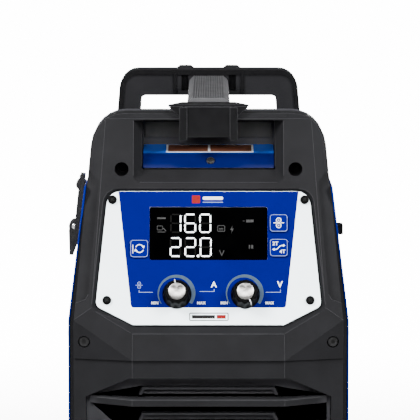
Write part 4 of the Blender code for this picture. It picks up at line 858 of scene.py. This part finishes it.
def display():
    """Two rows of figures, and faint icons round them."""
    low, high = LENS_OUT, LENS_OUT + 0.05
    lit, dim = Shape(on_plate), Shape(on_plate)
    for across, figure in (((-27.6, -19.7), "1"), ((-17.4, -9.1), "6"), ((-6.6, 1.8), "0")):
        digit(lit, dim, across, (74.9, 88.9), figure)
    for across, figure in (((-27.8, -19.8), "2"), ((-17.2, -9.1), "2"), ((-6.2, 2.2), "0")):
        digit(lit, dim, across, (57.2, 71.4), figure)
    lit.slab(circle(0.85, 14, (-7.5, 57.8)), low, high).piece("lit_figures", "lit_segment")
    dim.slab(circle(0.6, 12, (2.9, 57.6)), low, high).piece("unlit_segments", "dim_segment")
    icons = Shape(on_plate)
    icons.ribbon([(7.9, 62.0), (9.6, 58.1), (11.3, 62.0)], 0.6, low, high)
    icons.box((-37.1, -30.9), (85.1, 86.3), low, high)
    icons.ribbon(rounded_box((-37.0, -33.2), (77.0, 80.0), 0.4), 0.4, low, high, closed=True)
    icons.ribbon([(-33.4, 78.6), (-31.8, 77.6), (-30.8, 76.2)], 0.6, low, high)
    icons.box((-36.9, -31.2), (75.2, 75.7), low, high)
    icons.ribbon(rounded_box((6.6, 11.7), (75.9, 80.2), 0.6), 0.45, low, high, closed=True)
    icons.box((7.6, 10.7), (77.8, 78.3), low, high).box((7.6, 10.7), (76.8, 77.2), low, high)
    bolt = [(17.5, 80.3), (15.7, 77.0), (16.9, 77.0), (16.3, 74.5), (18.2, 78.0), (17.0, 78.0)]
    icons.slab(bolt, low, high)
    icons.box((24.9, 26.0), (83.4, 83.9), low, high).box((27.2, 32.6), (82.7, 84.6), low, high)
    icons.box((29.1, 30.0), (63.2, 65.8), low, high).box((30.8, 32.2), (63.2, 65.8), low, high)
    icons.piece("display_icons", "dim_icon")


def arrow_head(shape, tip, way, size, low, high):
    """A flat triangle that points one way."""
    way = Vector(way).normalized()
    side = Vector((-way.y, way.x)) * size * 0.62
    base = Vector(tip) - way * size
    shape.slab([tuple(Vector(tip)), tuple(base + side), tuple(base - side)], low, high)


def key_symbols():
    """Outline and symbol on the top of each push button."""
    low, high = KEY_OUT, KEY_OUT + 0.05
    reach = KEY_HALF - 0.3
    for name, centre in BUTTONS.items():
        edge = Shape(on_plate_at(*centre))
        edge.ribbon(rounded_box((-reach, reach), (-reach, reach), 1.9), 0.42, low, high, closed=True)
        edge.piece(name + "_outline", "ink_pale", name.replace("button", "key"))
    cycle = Shape(on_plate_at(*BUTTONS["process_button"]))
    middle, radius = 0.3, 2.9
    for turn in (0, 180):
        cycle.ribbon(arc((middle, 0), radius, turn + 32, turn + 160, 14), 0.6, low, high)
        end = math.radians(turn + 8)
        way = (math.sin(end), -math.cos(end))
        tip = (middle + radius * math.cos(end) + 0.4 * way[0], radius * math.sin(end) + 0.4 * way[1])
        arrow_head(cycle, tip, way, 1.9, low, high)
    cycle.box((-4.75, -4.3), (-3.6, 2.8), low, high)
    cycle.piece("process_symbol", "ink_white", "process_key")
    feed = Shape(on_plate_at(*BUTTONS["wire_inch_button"]))
    rollers(feed, (0.0, 0.1), 1.95, 0.55, low, high).piece("wire_inch_symbol", "ink_white", "wire_inch_key")
    swap = Shape(on_plate_at(*BUTTONS["trigger_mode_button"]))
    bend = [(-3.4, -1.3), (-2.0, -1.3), (-1.0, -0.9), (0.6, 0.9), (1.6, 1.5), (3.2, 1.6)]
    swap.ribbon(bend, 0.6, low, high)
    arrow_head(swap, (-4.8, -1.3), (-1, 0), 1.7, low, high)
    arrow_head(swap, (4.7, 1.6), (1, 0), 1.7, low, high)
    swap.piece("trigger_mode_symbol", "ink_white", "trigger_mode_key")
    u, v = BUTTONS["trigger_mode_button"]
    for name, text, place in (("two_step_sign", "2T", (u - 2.5, v + 2.9)),
                              ("four_step_sign", "4T", (u + 2.6, v - 3.0))):
        lettering(name, text, place, 3.9, 0.02, KEY_OUT, "trigger_mode_key")


def knob(name, body, centre, turn):
    """Scalloped black knob with a spun cap and a white pointer."""
    place = on_plate_at(*centre, turn)
    top = KNOB_TOP
    # Height, radius and depth of the scallops as a share of their full depth
    profile = [(0.2, KNOB_RADIUS + 0.2, 0.0), (1.4, KNOB_RADIUS + 0.2, 0.0), (2.2, KNOB_RADIUS - 0.1, 0.4),
               (3.2, KNOB_RADIUS - 0.2, 1.0), (top - 3.2, KNOB_RADIUS - 1.0, 1.0),
               (top - 1.8, KNOB_RADIUS - 1.3, 0.8), (top - 0.8, KNOB_RADIUS - 2.0, 0.3),
               (top - 0.4, KNOB_RADIUS - 2.8, 0.0), (top - 0.9, CAP_RADIUS - 0.2, 0.0)]
    count, lobes, scallop = 144, 12, 0.85
    rings = []
    for out, radius, depth in profile:
        ring = []
        for k in range(count):
            angle = math.tau * k / count
            wave = 0.5 - 0.5 * math.cos(lobes * angle)
            reach = radius - scallop * depth * wave ** 0.7
            ring.append((reach * math.cos(angle), reach * math.sin(angle), out))
        rings.append(ring)
    skirt = Shape(place).loft(rings).piece(name + "_grip", "knob_black", body, smooth_angle=50.0)
    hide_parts(name + "_knob")
    cap = Shape(place).lathe([(CAP_RADIUS - 0.2, top - 1.2), (CAP_RADIUS, top - 0.3),
                              (CAP_RADIUS - 0.2, top + 0.15), (CAP_RADIUS - 0.45, top + 0.3)], count=64)
    spun = cap.piece(name + "_spun_cap", "spun_aluminium", body)
    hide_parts(name + "_knob_cap")
    pointer = Shape(place)
    pointer.loft([[(-0.35, b, out), (0.35, b, out), (0.35, b, out + 0.5), (-0.35, b, out + 0.5)]
                  for b, out in ((CAP_RADIUS + 0.3, top - 0.7), (8.2, top - 0.8), (9.2, top - 2.2),
                                 (9.8, 4.0))])
    pointer.piece(name + "_pointer", "ink_white", body)


def plate_screws():
    """Raised black crosses on the heads of the control plate's screws, painted shade that stands for their
    cross recesses.
    """
    for name, (u, v) in PLATE_SCREWS.items():
        cross = Shape(on_plate_at(u, v, 45.0))
        cross.box((-1.5, 1.5), (-0.35, 0.35), SCREW_OUT, SCREW_OUT + 0.04)
        cross.box((-0.35, 0.35), (-1.5, 1.5), SCREW_OUT, SCREW_OUT + 0.05)
        cross.piece("screw_cross_" + name, "print_and_shade_black")


# ---------------------------------------------------------------- handle, niche and casing details


def leaning(x, y, z, lean):
    """Places (across, up the slope, out) round a point on a slope that rises to the back."""
    cos, sin = math.cos(lean), math.sin(lean)
    return lambda a, b, out: spot(x + a, y + b * cos - out * sin, z + b * sin + out * cos)


def grip_ribs():
    """Fine ribs along the top of the rubber grip."""
    ribs = Shape(spot)
    count, pitch, top, ends = 14, 1.8, 348.5, (84.6, 365.4)
    for k in range(count):
        x = (k - (count - 1) / 2) * pitch
        section = [(x - 0.62, top), (x + 0.62, top), (x + 0.45, top + 0.75), (x, top + 0.95),
                   (x - 0.45, top + 0.75)]
        ribs.loft([[(a, y, z) for a, z in section] for y in ends])
    ribs.piece("grip_ribs", "grip_grey")


def hood():
    """Blue moulding on the niche's floor, its top painted paler as painted light, with a plain two-part
    label and a screw in its front slope.
    """
    front, bend, back, base = (49.8, 300.2), (60.6, 310.2), (103.4, 313.5), 300.2
    half = 47.9
    outline = [front, bend, back, (back[0], base)]
    rings = [[(x, y, z) for y, z in outline] for x in (-half, half)]
    body = Shape(spot).loft(rings).piece("hood", "hood_blue", bevel=0.6)
    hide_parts("hood_panel")
    on_hood = leaning(0.0, *bend, math.atan2(back[1] - bend[1], back[0] - bend[0]))
    label = Shape(on_hood).slab(rounded_box((-31.0, 33.0), (4.0, 40.0), 0.8), 0.0, 0.15)
    label.piece("hood_label", "ink_white")
    for side, across in (("left", (-29.6, -0.4)), ("right", (1.4, 31.6))):
        half_label = Shape(on_hood).box(across, (6.4, 37.6), 0.1, 0.2)
        half_label.piece("hood_label_" + side, "label_film")
    profile = [(3.0, -0.2), (3.0, 0.9), (2.3, 1.5), (1.2, 1.5), (1.0, 0.7)]
    head = Shape(leaning(1.5, 54.6, 305.0, math.radians(45))).lathe(profile, count=24)
    head.piece("hood_screw", "dark_steel")


def loop_details():
    """A slightly raised border along the rear loop's outer edge, painted darker as painted shade on its
    rounded edge, and the raised clip frame in its middle.
    """
    right = [(72.5, 313.5, 2.0), (69.2, 351.8, 13.0)]
    border = rounded(right + [(-x, z, radius) for x, z, radius in reversed(right)], 8)
    place = facing_front(0.0, 366.4, 0.0)
    # painted shade: the border's darker black stands for the shade on the loop's rounded outer edge
    Shape(place).ribbon(border, 4.2, -0.3, 0.9).piece("loop_border", "bare_black", bevel=0.3)
    frame_bars = Shape(place)
    for side in (-1, 1):
        low, high = sorted((side * 26.2, side * 28.6))
        frame_bars.box((low, high), (333.6, 352.5), -0.3, 1.4)
    frame_bars.piece("loop_clip_frame", "bare_black", bevel=0.3)


def wall_pads():
    """Pads on the niche's back wall, painted grey as painted light in the shaded niche."""
    for side, middle in (("left", -34.0), ("right", 34.0)):
        outline = rounded_box((-13.0, 13.0), (-5.9, 5.9), 1.0)
        pad = Shape(facing_front(middle, 103.2, 324.7)).slab(outline, -0.2, 0.8)
        pad.piece("wall_pad_" + side, "pad_grey_painted_light", bevel=0.3)


def screw_head(name, place, radius):
    """Low screw head, with a raised black cross on top, painted shade that stands for its cross recess."""
    profile = [(radius, -0.2), (radius, 0.1), (radius * 0.85, 0.3), (radius * 0.5, 0.4)]
    Shape(place).lathe(profile, count=24).piece(name, "dark_steel")
    cross = Shape(place)
    cross.box((-radius * 0.45, radius * 0.45), (-0.35, 0.35), 0.35, 0.45)
    cross.box((-0.35, 0.35), (-radius * 0.45, radius * 0.45), 0.35, 0.47)
    cross.piece(name + "_cross", "print_and_shade_black")


def latch_pins():
    """Bright ends of the latch's two pins."""
    for name, body, (x, y, z), radius in (("lever_pin", "door", (-102.3, 180.2, 244.7), 2.1),
                                          ("keeper_pin", "chassis", (-97.1, 181.2, 276.5), 1.9)):
        profile = [(radius, -1.6), (radius, 0.3), (radius * 0.6, 0.8)]
        end = Shape(facing_front(x, y, z)).lathe(profile, count=20)
        end.piece(name + "_end", "bright_steel", body)


def case_screws():
    """Screws along the cover's sides and at the corners of the rear frame."""
    radius = 3.6
    for row, z in enumerate((40.0, 110.0, 180.0)):
        for column, y in enumerate((46.0, 384.0)):
            screw_head(f"side_screw_right_{row}_{column}", facing_right(102.0, y, z), radius)
            screw_head(f"side_screw_left_{row}_{column}", facing_left(-102.0, y, z), radius)
    for row, z in enumerate((34.0, 270.0)):
        for side, x in (("left", -72.0), ("right", 72.0)):
            screw_head(f"rear_screw_{side}_{row}", facing_back(x, 430.0, z), radius)


def socket_signs():
    """Plus and minus signs beside the sockets."""
    plus = Shape(facing_front(10.0, 12.0, 68.0))
    plus.box((-2.6, 2.6), (-0.5, 0.5), 0.0, 0.12).box((-0.5, 0.5), (-2.6, 2.6), 0.0, 0.13)
    plus.piece("plus_sign", "ink_white")
    minus = Shape(facing_front(42.0, 12.0, 68.0)).box((-2.6, 2.6), (-0.5, 0.5), 0.0, 0.12)
    minus.piece("minus_sign", "ink_white")


def rating_plate():
    """Blank plate on the back, with four plain lines."""
    place = facing_back(-46.0, 430.0, 150.0)
    plate = Shape(place).slab(rounded_box((-26.0, 26.0), (-19.0, 19.0), 2.0), 0.0, 0.4)
    plate.piece("rating_plate", "aluminium")
    lines = Shape(place)
    for k in range(4):
        b = 12.0 - k * 8.0
        lines.box((-23.0, 23.0), (b - 0.2, b + 0.2), 0.4, 0.46)
    lines.piece("rating_plate_lines", "print_and_shade_black")


def chin_sockets():
    """Black hexagons on the heads of the chin's two screws, painted shade that stands for their hex sockets.
    """
    for side, x in (("left", -89.5), ("right", 89.5)):
        hexagon = Shape(facing_front(x, 11.6, 178.0)).slab(circle(1.7, 6), 0.0, 0.06)
        hexagon.piece("chin_socket_" + side, "print_and_shade_black")


LOOKS = make_looks()
make_camera()
make_floor()
make_studio()
finish_frame()
printed_film()
plate_print()
display()
key_symbols()
for name, body in (("wire_speed", "wire_speed_dial"), ("voltage", "voltage_dial")):
    knob(name, body, (KNOB_ACROSS[name], KNOB_UP), KNOB_TURN[name])
plate_screws()
grip_ribs()
hood()
loop_details()
wall_pads()
latch_pins()
case_screws()
socket_signs()
rating_plate()
chin_sockets()
